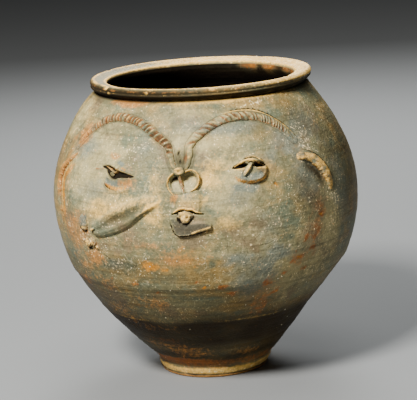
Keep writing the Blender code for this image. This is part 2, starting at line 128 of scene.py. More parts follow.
@dataclass(frozen=True)
class Wall:
    """Sizes of the turned wall, as the solid has them. The heart is the middle of the rolled lip."""

    foot_rise: float = 0.0104
    cone_rise: float = 0.0895
    belly_rise: float = 0.0566
    shoulder_rise: float = 0.093
    lip_rise: float = 0.0105
    foot_radius: float = 0.0496
    foot_taper: float = 0.0026
    foot_edge: float = 0.0012
    waist_inset: float = 0.0003
    belly_radius: float = 0.1321
    knuckle_inset: float = 0.0114
    lip_radius: float = 0.0952
    lip_overhang: float = 0.0039
    lip_width: float = 0.015
    heart_inset: float = 0.0082
    heart_drop: float = 0.0062
    throat_drop: float = 0.0038
    throat_depth: float = 0.006
    cone_swell: float = 0.0032
    shoulder_flat: float = 0.0021
    thickness: float = 0.0062
    floor: float = 0.0095
    sway_knots: tuple[tuple[float, float], ...] = (
        (0, 0), (0.06, 0.0012), (0.14, -0.0006), (0.22, -0.002), (0.3, -0.0008), (0.38, 0.0012), (0.48, 0.0015),
        (0.66, 0.0008), (0.9, 0.0004), (1, 0.0028))

    @property
    def knuckle(self) -> float:
        """Height of the ring where the cone turns into the belly."""
        return self.foot_rise + self.cone_rise

    @property
    def belly(self) -> float:
        """Height of the widest ring."""
        return self.knuckle + self.belly_rise

    @property
    def crease(self) -> float:
        """Height of the crease under the lip."""
        return self.belly + self.shoulder_rise

    @property
    def top(self) -> float:
        """Height of the top of the lip."""
        return self.crease + self.lip_rise

    @property
    def throat(self) -> float:
        """Radius of the mouth."""
        return self.lip_radius - self.lip_width

    def radius(self, height: Array) -> Array:
        """Radius of the outside at heights from the waist to the crease."""
        z = np.asarray(height, float)
        knuckle_radius = self.belly_radius - self.knuckle_inset
        waist_radius = self.foot_radius - self.waist_inset
        crease_radius = self.lip_radius - self.lip_overhang
        t = (z - self.foot_rise) / self.cone_rise
        cone = waist_radius + t * (knuckle_radius - waist_radius) + 4.0 * self.cone_swell * t * (1.0 - t)

        def oval(edge: float, rise: float) -> float:
            """Height of the oval that is as wide as an edge at a rise from the belly."""
            return rise / math.sqrt(1.0 - (edge / self.belly_radius) ** 2)

        low = (self.belly - z) / oval(knuckle_radius, self.belly_rise)
        high = (z - self.belly) / oval(crease_radius, self.shoulder_rise)
        t = (z - self.belly) / self.shoulder_rise
        belly = self.belly_radius * np.sqrt(np.clip(1.0 - low * low, 0.0, 1.0))
        shoulder = self.belly_radius * np.sqrt(np.clip(1.0 - high * high, 0.0, 1.0))
        shoulder = shoulder - 6.75 * self.shoulder_flat * t * t * (1.0 - t)
        return np.where(z <= self.knuckle, cone, np.where(z <= self.belly, belly, shoulder))

    def slope(self, height: Array) -> Array:
        """Change of the outer radius with height."""
        step = 0.0005
        low = np.maximum(np.asarray(height, float) - step, self.foot_rise)
        high = np.minimum(np.asarray(height, float) + step, self.crease)
        return (self.radius(high) - self.radius(low)) / (high - low)

    def sway(self, height: Array) -> Array:
        """Sideways shift of the axis, which the potter didn't quite keep straight."""
        share, shift = np.array(self.sway_knots).T
        place = np.asarray(height, float) / self.top
        span = np.clip(np.searchsorted(share, place, side="right") - 1, 0, len(share) - 2)
        t = (place - share[span]) / (share[span + 1] - share[span])
        return shift[span] + (shift[span + 1] - shift[span]) * t * t * (3.0 - 2.0 * t)

    def height(self, share: Array) -> Array:
        """Height of a share of the shoulder's rise."""
        return self.belly + np.asarray(share, float) * self.shoulder_rise

    def share(self, height: Array) -> Array:
        """Share of the shoulder's rise at a height."""
        return (height - self.belly) / self.shoulder_rise

    def out(self, turn: Array, height: Array) -> Array:
        """Outward normals at turns in radians and heights."""
        turn, lean = np.broadcast_arrays(turn, self.slope(height))
        rows = np.stack((np.sin(turn), -np.cos(turn), -lean), axis=-1)
        return rows / np.linalg.norm(rows, axis=-1, keepdims=True)

    def spot(self, turn: Array, height: Array, lift: Array = 0.0) -> Array:
        """Points of the outside at turns in radians and heights, lifted along the normal."""
        turn, height, lift = np.broadcast_arrays(turn, height, lift)
        radius = self.radius(height)
        flat = np.stack((self.sway(height) + radius * np.sin(turn), -radius * np.cos(turn), height), axis=-1)
        return flat + self.out(turn, height) * lift[..., None]

    def at(self, places: Sequence[Place] | Array, lift: Array = 0.0) -> Array:
        """Points of the outside at places."""
        rows = np.atleast_2d(np.array(places, float))
        return self.spot(np.radians(rows[:, 0]), self.height(rows[:, 1]), lift)

    def frame(self, place: Place) -> tuple[Array, Array, Array, Array]:
        """The point at a place with its directions to the right, up the wall and outwards."""
        turn, height = math.radians(place[0]), self.height(place[1])
        out = self.out(turn, height)
        right = np.array((math.cos(turn), math.sin(turn), 0.0))
        return self.spot(turn, height), right, np.cross(out, right), out

    def path(self, knots: Sequence[Place], step: float, sealed: bool = False) -> Array:
        """Places along a smooth line through knots.

        Args:
            knots: Places that the line passes.
            step: Distance between the places returned, in metres.
            sealed: Whether the line runs on from its last knot to its first.

        Returns:
            Places, one row each.
        """
        rows = np.array(list(knots) + ([knots[0]] if sealed else []), float)
        marks = self.at(rows)
        place = lengths(marks)
        tangent = np.gradient(rows, place, axis=0)
        if sealed:
            tangent[0] = tangent[-1] = (rows[1] - rows[-2]) / (place[1] + place[-1] - place[-2])
        pick = np.linspace(0.0, place[-1], max(4, round(place[-1] / step) + 1))
        span = np.clip(np.searchsorted(place, pick, side="right") - 1, 0, len(place) - 2)
        gap = (place[span + 1] - place[span])[:, None]
        t = (pick - place[span])[:, None] / gap
        return ((1 + 2 * t) * (1 - t) ** 2 * rows[span] + t * (1 - t) ** 2 * gap * tangent[span]
                + t * t * (3 - 2 * t) * rows[span + 1] + t * t * (t - 1) * gap * tangent[span + 1])

    def outline(self) -> list[tuple[float, float, Zone]]:
        """The whole outline as (radius, height, zone), from under the foot to the floor inside."""
        low, r, top = self.foot_radius - self.foot_taper, self.lip_radius, self.top
        rows = [(x, 0.0, Zone.FOOT) for x in (0.0, 0.012, 0.024, 0.036, low - self.foot_edge)]
        rows += [(low + dx, z, Zone.FOOT) for dx, z in (
            (-0.0004, 0.0004), (0.0, 0.0012), (0.0004, 0.0022), (0.0002, 0.0027), (0.0006, 0.0032), (0.0013, 0.0046),
            (0.002, 0.006), (0.0025, 0.0074), (self.foot_taper, 0.0086), (self.foot_taper - 0.0004, 0.0095))]
        z = self.foot_rise
        while z < self.crease - 0.0012:
            rows.append((float(self.radius(z)), z, Zone.OUTSIDE))
            z += (0.0022 if z < 0.02 else 0.003) / math.hypot(1.0, float(self.slope(z)))
        rows += [(r - dx, top - dz, Zone.LIP) for dx, dz in (
            (0.005, 0.0112), (0.0056, 0.0104), (0.0054, 0.0096), (0.0044, 0.0091), (0.003, 0.0087), (0.0018, 0.0079),
            (0.001, 0.007), (0.0005, 0.0061), (0.0008, 0.0053), (0.001, 0.0047), (0.0004, 0.004), (0.0001, 0.0032),
            (0.0001, 0.0024), (0.0006, 0.0015), (0.0014, 0.0007), (0.0023, 0.0002), (0.0033, 0.0001),
            (0.0046, 0.0005), (0.0062, 0.0012), (0.008, 0.0019), (0.0098, 0.0025), (0.0114, 0.0028),
            (0.0126, 0.0025), (0.0136, 0.0026), (0.0144, 0.0033), (0.0149, 0.0044), (0.015, 0.0058), (0.015, 0.0078),
            (0.015, 0.0098))]
        z = top - self.throat_drop - self.throat_depth - 1.2 * self.thickness
        while z > self.floor + self.thickness:
            lean = float(self.slope(z))
            out = 1.0 / math.hypot(1.0, lean)
            point = (float(self.radius(z)) - self.thickness * out, z + self.thickness * lean * out)
            if self.floor + 0.0025 < point[1] < top - self.throat_drop - self.throat_depth:
                rows.append((*point, Zone.INSIDE))
            z -= 0.0085 * out
        edge = rows[-1][0]
        rows += [(edge - 0.0045, self.floor + 0.0012, Zone.INSIDE), (edge - 0.0105, self.floor, Zone.INSIDE)]
        rows += [(x, self.floor, Zone.INSIDE) for x in (0.022, 0.01, 0.0)]
        return rows


# Node trees


class Value:
    """A socket that can be reckoned with."""

    def __init__(self, graph: "Graph", socket: bpy.types.NodeSocket) -> None:
        """Keep a socket and the graph that it is in."""
        self.graph = graph
        self.socket = socket

    def _math(self, operation: str, *others: object, clamp: bool = False) -> "Value":
        """Add a Math node on this value and others."""
        node = self.graph.add("ShaderNodeMath", {"operation": operation, "use_clamp": clamp},
                              dict(enumerate((self, *others))))
        return Value(self.graph, node.outputs[0])

    def __add__(self, other: object) -> "Value":
        """Sum."""
        return self._math("ADD", other)

    __radd__ = __add__

    def __sub__(self, other: object) -> "Value":
        """Difference."""
        return self._math("SUBTRACT", other)

    def __rsub__(self, other: float) -> "Value":
        """Number less this value."""
        return (self * -1.0) + other

    def __mul__(self, other: object) -> "Value":
        """Product."""
        return self._math("MULTIPLY", other)

    __rmul__ = __mul__

    def size(self) -> "Value":
        """Value without its sign."""
        return self._math("ABSOLUTE")

    def held(self) -> "Value":
        """Value kept between 0 and 1."""
        return self._math("ADD", 0.0, clamp=True)

    def wrap(self) -> "Value":
        """Fraction past the last whole number."""
        return self._math("FRACT")

    def sine(self) -> "Value":
        """Sine of an angle."""
        return self._math("SINE")

    def cosine(self) -> "Value":
        """Cosine of an angle."""
        return self._math("COSINE")

    def step(self, low: float, high: float) -> "Value":
        """Smooth step from 0 at low to 1 at high, or down where high is the lower."""
        node = self.graph.add("ShaderNodeMapRange", {"interpolation_type": "SMOOTHSTEP"},
                              {"Value": self, "From Min": low, "From Max": high})
        return Value(self.graph, node.outputs[0])


class Graph:
    """Adds nodes to a tree and joins them."""

    def __init__(self, tree: bpy.types.NodeTree) -> None:
        """Keep the tree."""
        self.tree = tree

    def add(self, kind: str, settings: dict[str, object] | None = None,
            sockets: dict[str | int, object] | None = None) -> bpy.types.Node:
        """Add a node.

        Args:
            kind: The node's type.
            settings: Its properties, set first.
            sockets: Values or links of its inputs, by name or number.

        Returns:
            The node.
        """
        node = self.tree.nodes.new(kind)
        for name, value in (settings or {}).items():
            setattr(node, name, value)
        for key, value in (sockets or {}).items():
            source = value.socket if isinstance(value, Value) else value
            if isinstance(source, bpy.types.NodeSocket):
                self.tree.links.new(source, node.inputs[key])
            else:
                node.inputs[key].default_value = source
        return node

    def value(self, kind: str, settings: dict[str, object] | None = None,
              sockets: dict[str | int, object] | None = None, output: str | int = 0) -> Value:
        """Add a node and take one of its outputs as a value."""
        return Value(self, self.add(kind, settings, sockets).outputs[output])

    def vector(self, operation: str, first: object, second: object) -> Value:
        """Add a Vector Math node on two vectors."""
        return self.value("ShaderNodeVectorMath", {"operation": operation}, {0: first, 1: second})

    def scaled(self, vector: object, factor: object) -> Value:
        """A vector times a number."""
        return self.value("ShaderNodeVectorMath", {"operation": "SCALE"}, {0: vector, "Scale": factor})

    def joined(self, x: object, y: object, z: object) -> Value:
        """A vector from three numbers."""
        return self.value("ShaderNodeCombineXYZ", None, {0: x, 1: y, 2: z})

    def split(self, vector: object) -> tuple[Value, Value, Value]:
        """The three numbers of a vector."""
        node = self.add("ShaderNodeSeparateXYZ", None, {0: vector})
        return tuple(Value(self, node.outputs[i]) for i in range(3))


class Grower(Graph):
    """A Geometry Nodes tree with one mesh in and one mesh out."""

    def __init__(self, name: str, sizes: dict[str, float | int]) -> None:
        """Make the tree and its inputs.

        Args:
            name: Name of the tree.
            sizes: Inputs by name, whole numbers where the value is whole.
        """
        tree = bpy.data.node_groups.new(name, "GeometryNodeTree")
        face = tree.interface
        face.new_socket("Geometry", in_out="INPUT", socket_type="NodeSocketGeometry")
        face.new_socket("Geometry", in_out="OUTPUT", socket_type="NodeSocketGeometry")
        self.keys: dict[str, tuple[str, float | int]] = {}
        for label, value in sizes.items():
            kind = "NodeSocketInt" if isinstance(value, int) else "NodeSocketFloat"
            self.keys[label] = (face.new_socket(label, in_out="INPUT", socket_type=kind).identifier, value)
        super().__init__(tree)
        self.group = tree.nodes.new("NodeGroupInput")

    def given(self, label: str) -> Value:
        """An input of the tree."""
        return Value(self, self.group.outputs[label])

    def named(self, name: str, kind: str = "FLOAT") -> Value:
        """An attribute of the geometry."""
        return self.value("GeometryNodeInputNamedAttribute", {"data_type": kind}, {"Name": name})

    def keep(self, mesh: object, name: str, value: object) -> Value:
        """The mesh with a value written on its points."""
        return self.value("GeometryNodeStoreNamedAttribute", {"data_type": "FLOAT", "domain": "POINT"},
                          {"Geometry": mesh, "Name": name, "Value": value})

    def grid(self, across: Value, along: Value) -> bpy.types.NodeSocket:
        """A flat mesh of side 1 with these counts of points."""
        return self.add("GeometryNodeMeshGrid", None, {
            "Size X": 1.0, "Size Y": 1.0, "Vertices X": across, "Vertices Y": along}).outputs["Mesh"]

    def placed(self, mesh: object, place: Value, gap: float) -> Value:
        """The mesh with its points moved, and joined where they are closer than a gap."""
        mesh = self.value("GeometryNodeSetPosition", None, {"Geometry": mesh, "Position": place})
        return self.value("GeometryNodeMergeByDistance", None, {"Geometry": mesh, "Distance": gap})

    def finish(self, mesh: object, material: bpy.types.Material) -> None:
        """End the tree in Realize Instances and Set Material."""
        real = self.value("GeometryNodeRealizeInstances", None, {0: mesh})
        dressed = self.add("GeometryNodeSetMaterial", None, {"Geometry": real, "Material": material})
        out = self.tree.nodes.new("NodeGroupOutput")
        self.tree.links.new(dressed.outputs[0], out.inputs[0])

    def grow(self, seed_mesh: bpy.types.Mesh, name: str) -> bpy.types.Mesh:
        """Run the tree on a mesh.

        Args:
            seed_mesh: The mesh that the tree starts from.
            name: Name of the mesh made.

        Returns:
            A plain mesh.
        """
        holder = link(f"{name}_seed", seed_mesh)
        step = holder.modifiers.new("grow", "NODES")
        step.node_group = self.tree
        for identifier, value in self.keys.values():
            step[identifier] = value
        graph = bpy.context.evaluated_depsgraph_get()
        made = bpy.data.meshes.new_from_object(holder.evaluated_get(graph), preserve_all_data_layers=True,
                                               depsgraph=graph)
        made.name = name
        holder.modifiers.clear()
        bpy.data.objects.remove(holder, do_unlink=True)
        return made


# Meshes


def positions(mesh: bpy.types.Mesh) -> Array:
    """The positions of a mesh's points."""
    flat = np.empty(3 * len(mesh.vertices), np.float32)
    mesh.vertices.foreach_get("co", flat)
    return flat.reshape(-1, 3).astype(float)


def place_points(mesh: bpy.types.Mesh, points: Array) -> None:
    """Move a mesh's points."""
    mesh.vertices.foreach_set("co", points.astype(np.float32).ravel())
    mesh.update()


def read(mesh: bpy.types.Mesh, name: str) -> Array:
    """A number on each point of a mesh, 0 where the mesh has none."""
    values = np.zeros(len(mesh.vertices), np.float32)
    if name in mesh.attributes:
        mesh.attributes[name].data.foreach_get("value", values)
    return values.astype(float)


def write(mesh: bpy.types.Mesh, name: str, values: Array) -> None:
    """Write a number on each point of a mesh."""
    layer = mesh.attributes.get(name) or mesh.attributes.new(name, "FLOAT", "POINT")
    layer.data.foreach_set("value", values.astype(np.float32))


def point_outwards(mesh: bpy.types.Mesh) -> None:
    """Turn every face of a closed mesh outwards and smooth the shading."""
    work = bmesh.new()
    work.from_mesh(mesh)
    bmesh.ops.remove_doubles(work, verts=work.verts, dist=2e-6)
    bmesh.ops.dissolve_degenerate(work, edges=work.edges, dist=1e-7)
    bmesh.ops.recalc_face_normals(work, faces=work.faces)
    if work.calc_volume(signed=True) < 0.0:
        bmesh.ops.reverse_faces(work, faces=work.faces)
    for face in work.faces:
        face.smooth = True
    work.to_mesh(mesh)
    work.free()


def link(name: str, data: bpy.types.ID) -> bpy.types.Object:
    """Put a mesh, a light or a camera into the scene."""
    thing = bpy.data.objects.new(name, data)
    bpy.context.scene.collection.objects.link(thing)
    return thing


def show(mesh: bpy.types.Mesh, name: str, material: bpy.types.Material) -> bpy.types.Object:
    """Make a mesh a piece of the urn.

    Args:
        mesh: The finished mesh, in place.
        name: The piece's name.
        material: Its finish.

    Returns:
        The piece.
    """
    mesh.materials.clear()
    mesh.materials.append(material)
    piece = link(name, mesh)
    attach(piece, BODY)
    LOG.info("%s: %d points, %d faces", name, len(mesh.vertices), len(mesh.polygons))
    return piece


# What the surface is like, spot by spot


class Mark(Enum):
    """What a spot of the surface can be, each written on the mesh by this name."""

    # The worn mark is also painted highlight, the hollow mark is painted shade in recesses, beside raised clay and
    # inside the urn, the pale mark is also painted sheen, and the sooty mark is also painted shade.
    BARE = "bare"
    HOLLOW = "hollow"
    PALE = "pale"
    SOOT = "soot"
    WARM = "warm"
    RUST = "rust"
    OCHRE = "ochre"
    LIME = "lime"
    COOL = "cool"


BARE, HOLLOW, PALE, SOOT, WARM, RUST, OCHRE, LIME, COOL = Mark


def new_marks(count: int) -> dict[Mark, Array]:
    """Empty marks for a number of points."""
    return {mark: np.zeros(count) for mark in Mark}


def write_marks(mesh: bpy.types.Mesh, marks: dict[Mark, Array]) -> None:
    """Write every mark on a mesh."""
    for mark, values in marks.items():
        write(mesh, mark.value, np.clip(values, 0.0, 1.0))


@dataclass(frozen=True)
class Stain:
    """A patch of one mark: its place, half width in degrees, half height in shares and strength.

    Its edge fades over the share `soft` of its size, and is torn by `ragged`.
    """

    mark: Mark
    turn: float
    share: float
    wide: float
    high: float
    strength: float
    soft: float
    ragged: float


@dataclass(frozen=True)
class Band:
    """A ring of one mark all round: its lowest and highest heights in metres, how soft, how strong."""

    mark: Mark
    low: float
    high: float
    soft: float
    strength: float


@dataclass(frozen=True)
class Patina:
    """Where the clay is pale, sooty, warm, rusty or limed, and where sheen and shade are painted on. The darkening,
    partly sooty clay and partly painted shade, is given by height.
    """

    wall: Wall
    stains: tuple[Stain, ...]
    # The dark band just above the foot is painted shade in the crease.
    bands: tuple[Band, ...] = (Band(RUST, 0.0105, 0.0165, 0.004, 0.5), Band(HOLLOW, 0.01, 0.0108, 0.0006, 0.5))
    # Darker by height, most on the cone, which faces down and away from the light: partly sooty clay, partly painted
    # shade.
    darkening: tuple[tuple[float, float], ...] = (
        (0, 0), (0.009, 0), (0.012, 0.5), (0.018, 0.75), (0.023, 0.9), (0.03, 0.76), (0.036, 0.88), (0.042, 1),
        (0.0615, 0.99), (0.0645, 0.76), (0.078, 0.46), (0.09, 0.36), (0.102, 0.3), (0.113, 0.26), (0.121, 0.16),
        (0.13, 0.05), (0.142, 0))

    def mark(self, points: Array, marks: dict[Mark, Array]) -> None:
        """Add the darkening by height, the bands and the stains to the marks of some points.

        Args:
            points: Positions, one row each.
            marks: Marks of those points, changed in place.
        """
        height = points[:, 2]
        turn = np.degrees(np.arctan2(points[:, 0] - self.wall.sway(height), -points[:, 1]))
        share = self.wall.share(height)
        torn = wobble(points, 0.013, 11) + 0.6 * wobble(points, 0.005, 12)
        drift = wobble(points, 0.08, 13) + 0.4 * wobble(points, 0.024, 14)
        darkening = np.interp(height + 0.001 * drift, *np.array(self.darkening).T) * (1.0 + 0.1 * wobble(points, 0.05, 15))
        marks[SOOT] = 1.0 - (1.0 - marks[SOOT]) * (1.0 - np.clip(darkening, 0.0, 1.0))
        for band in self.bands:
            level = height + 0.3 * band.soft * drift
            inside = smooth(band.low - band.soft, band.low, level) * smooth(band.high + band.soft, band.high, level)
            marks[band.mark] = np.maximum(marks[band.mark], band.strength * inside)
        for stain in self.stains:
            away = (turn - stain.turn + 180.0) % 360.0 - 180.0
            reach = np.hypot(away / stain.wide, (share - stain.share) / stain.high)
            near = 1.0 - smooth(1.0 - stain.soft, 1.0 + 0.4 * stain.soft, reach + stain.ragged * 0.5 * torn)
            have = marks[stain.mark]
            marks[stain.mark] = have + (1.0 - have) * stain.strength * near


class Relief:
    """Heights over the turned wall at some points, with their marks."""

    def __init__(self, wall: Wall, flat: Array) -> None:
        """Start level.

        Args:
            wall: The turned wall.
            flat: Points on or near the outside of the wall.
        """
        self.wall = wall
        height = np.clip(flat[:, 2], wall.foot_rise, wall.crease)
        self.turn = np.arctan2(flat[:, 0] - wall.sway(height), -flat[:, 1])
        self.flat = wall.spot(self.turn, height)
        self.out = wall.out(self.turn, height)
        self.share = wall.share(self.flat[:, 2])
        self.height = np.zeros(len(flat))
        self.marks = new_marks(len(flat))

    def near(self, place: Place, reach: float, tilt: float = 0.0) -> tuple[Array, Array, Array]:
        """Points near a place.

        Args:
            place: Middle of the neighbourhood.
            reach: Its radius in metres.
            tilt: Turn of the directions, in radians, anticlockwise.

        Returns:
            Numbers of the points, and how far each lies to the right and up.
        """
        middle, right, up, _ = self.wall.frame(place)
        away = self.flat - middle
        pick = np.flatnonzero(np.einsum("ij,ij->i", away, away) < reach * reach)
        x, y = away[pick] @ right, away[pick] @ up
        c, s = math.cos(tilt), math.sin(tilt)
        return pick, x * c + y * s, y * c - x * s

    def beside(self, knots: Sequence[Place], reach: float) -> tuple[Array, Array, Array]:
        """Points near a line.

        Args:
            knots: Places that the line passes.
            reach: How far from the line to look, in metres.

        Returns:
            Numbers of the points, how far along the line each is from 0 to 1, and how
            far it lies to the left of the line in metres.
        """
        line = self.wall.path(knots, 0.0016)
        marks, out = self.wall.at(line), self.wall.out(np.radians(line[:, 0]), self.wall.height(line[:, 1]))
        low, high = marks.min(0) - reach, marks.max(0) + reach
        pick = np.flatnonzero(np.all((self.flat > low) & (self.flat < high), axis=1))
        best = np.full(len(pick), np.inf)
        along, side = np.zeros(len(pick)), np.zeros(len(pick))
        points = self.flat[pick]
        length = lengths(marks)
        for i in range(len(marks) - 1):
            span = marks[i + 1] - marks[i]
            t = np.clip((points - marks[i]) @ span / (span @ span), 0.0, 1.0)
            away = points - marks[i] - t[:, None] * span
            gap = np.linalg.norm(away, axis=1)
            hit = gap < best
            best[hit] = gap[hit]
            along[hit] = (length[i] + t[hit] * np.linalg.norm(span)) / length[-1]
            left = np.cross(out[i], span)
            side[hit] = np.where(away[hit] @ left < 0.0, -1.0, 1.0)
        near = best < reach
        return pick[near], along[near], (best * side)[near]

    def within(self, outline: Sequence[Place], reach: float) -> tuple[Array, Array]:
        """Points in and near a closed outline.

        Args:
            outline: Places round it.
            reach: How far outside it to look, in metres.

        Returns:
            Numbers of the points, and how far inside the outline each lies, negative outside.
        """
        line = self.wall.path(outline, 0.0012, sealed=True)
        middle = tuple(line.mean(0))
        centre, right, up, _ = self.wall.frame(middle)
        marks = self.wall.at(line) - centre
        edge = np.stack((marks @ right, marks @ up), axis=1)
        pick, x, y = self.near(middle, float(np.linalg.norm(edge, axis=1).max()) + reach)
        best, inside = np.full(len(pick), np.inf), np.zeros(len(pick), bool)
        for (ax, ay), (bx, by) in zip(edge, np.roll(edge, -1, axis=0)):
            dx, dy = bx - ax, by - ay
            t = np.clip(((x - ax) * dx + (y - ay) * dy) / (dx * dx + dy * dy + 1e-12), 0.0, 1.0)
            best = np.minimum(best, np.hypot(x - ax - t * dx, y - ay - t * dy))
            cross = (ay > y) != (by > y)
            inside ^= cross & (x < ax + (y - ay) * dx / (dy if abs(dy) > 1e-12 else 1e-12))
        return pick, np.where(inside, best, -best)

    def lay(self, pick: Array, rise: Array, blend: float = 0.0005) -> None:
        """Lay clay up to a height, blended where it meets what is there."""
        have = self.height[pick]
        gap = np.clip(0.5 + 0.5 * (rise - have) / blend, 0.0, 1.0)
        self.height[pick] = have + (rise - have) * gap + blend * gap * (1.0 - gap)

    def add(self, pick: Array, rise: Array) -> None:
        """Add to the height."""
        self.height[pick] += rise

    def cut(self, pick: Array, floor: Array, deep: Array) -> None:
        """Cut down to a floor, as far as a share from 0 to 1."""
        have = self.height[pick]
        self.height[pick] = have + (np.minimum(floor, have) - have) * deep

    def stain(self, mark: Mark, pick: Array, strength: Array) -> None:
        """Raise a mark to a strength."""
        self.marks[mark][pick] = np.maximum(self.marks[mark][pick], np.clip(strength, 0.0, 1.0))


# Clay laid on the wall as pieces of its own


@dataclass(frozen=True)
class Skin:
    """What every laid-on piece needs to know: the wall, its stains, the finish and the relief below."""

    wall: Wall
    patina: Patina
    clay: bpy.types.Material
    forms: Callable[[Relief], None]

    def seat(self, places: Array) -> Array:
        """Height of the relief at places."""
        relief = Relief(self.wall, self.wall.at(places))
        self.forms(relief)
        return relief.height

    def dress(self, mesh: bpy.types.Mesh, name: str, marks: dict[Mark, Array]) -> bpy.types.Object:
        """Stain a mesh, write its marks and make it a piece."""
        self.patina.mark(positions(mesh), marks)
        write_marks(mesh, marks)
        return show(mesh, name, self.clay)


@dataclass(frozen=True)
class Section:
    """Shape across a strip: how full its crown is and to which side its crest lies."""

    fullness: float = 0.8
    warp: float = 1.0
    under: float = 0.08

    def curves(self, count: int = 24) -> tuple[list[tuple[float, float]], list[tuple[float, float]]]:
        """Sideways and upward shares against the way round, all from 0 to 1."""
        sideways, upward = [], []
        for i in range(count + 1):
            t = i / count
            turn = math.pi * t**self.warp
            place = t * (1.0 - self.under)
            sideways.append((place, 0.5 - 0.5 * math.cos(math.pi * t)))
            upward.append((place, max(math.sin(turn), 0.0) ** self.fullness))
        return sideways + [(1.0, 0.0)], upward + [(1.0, 0.0)]


Form = tuple[tuple[float, float, float], ...]


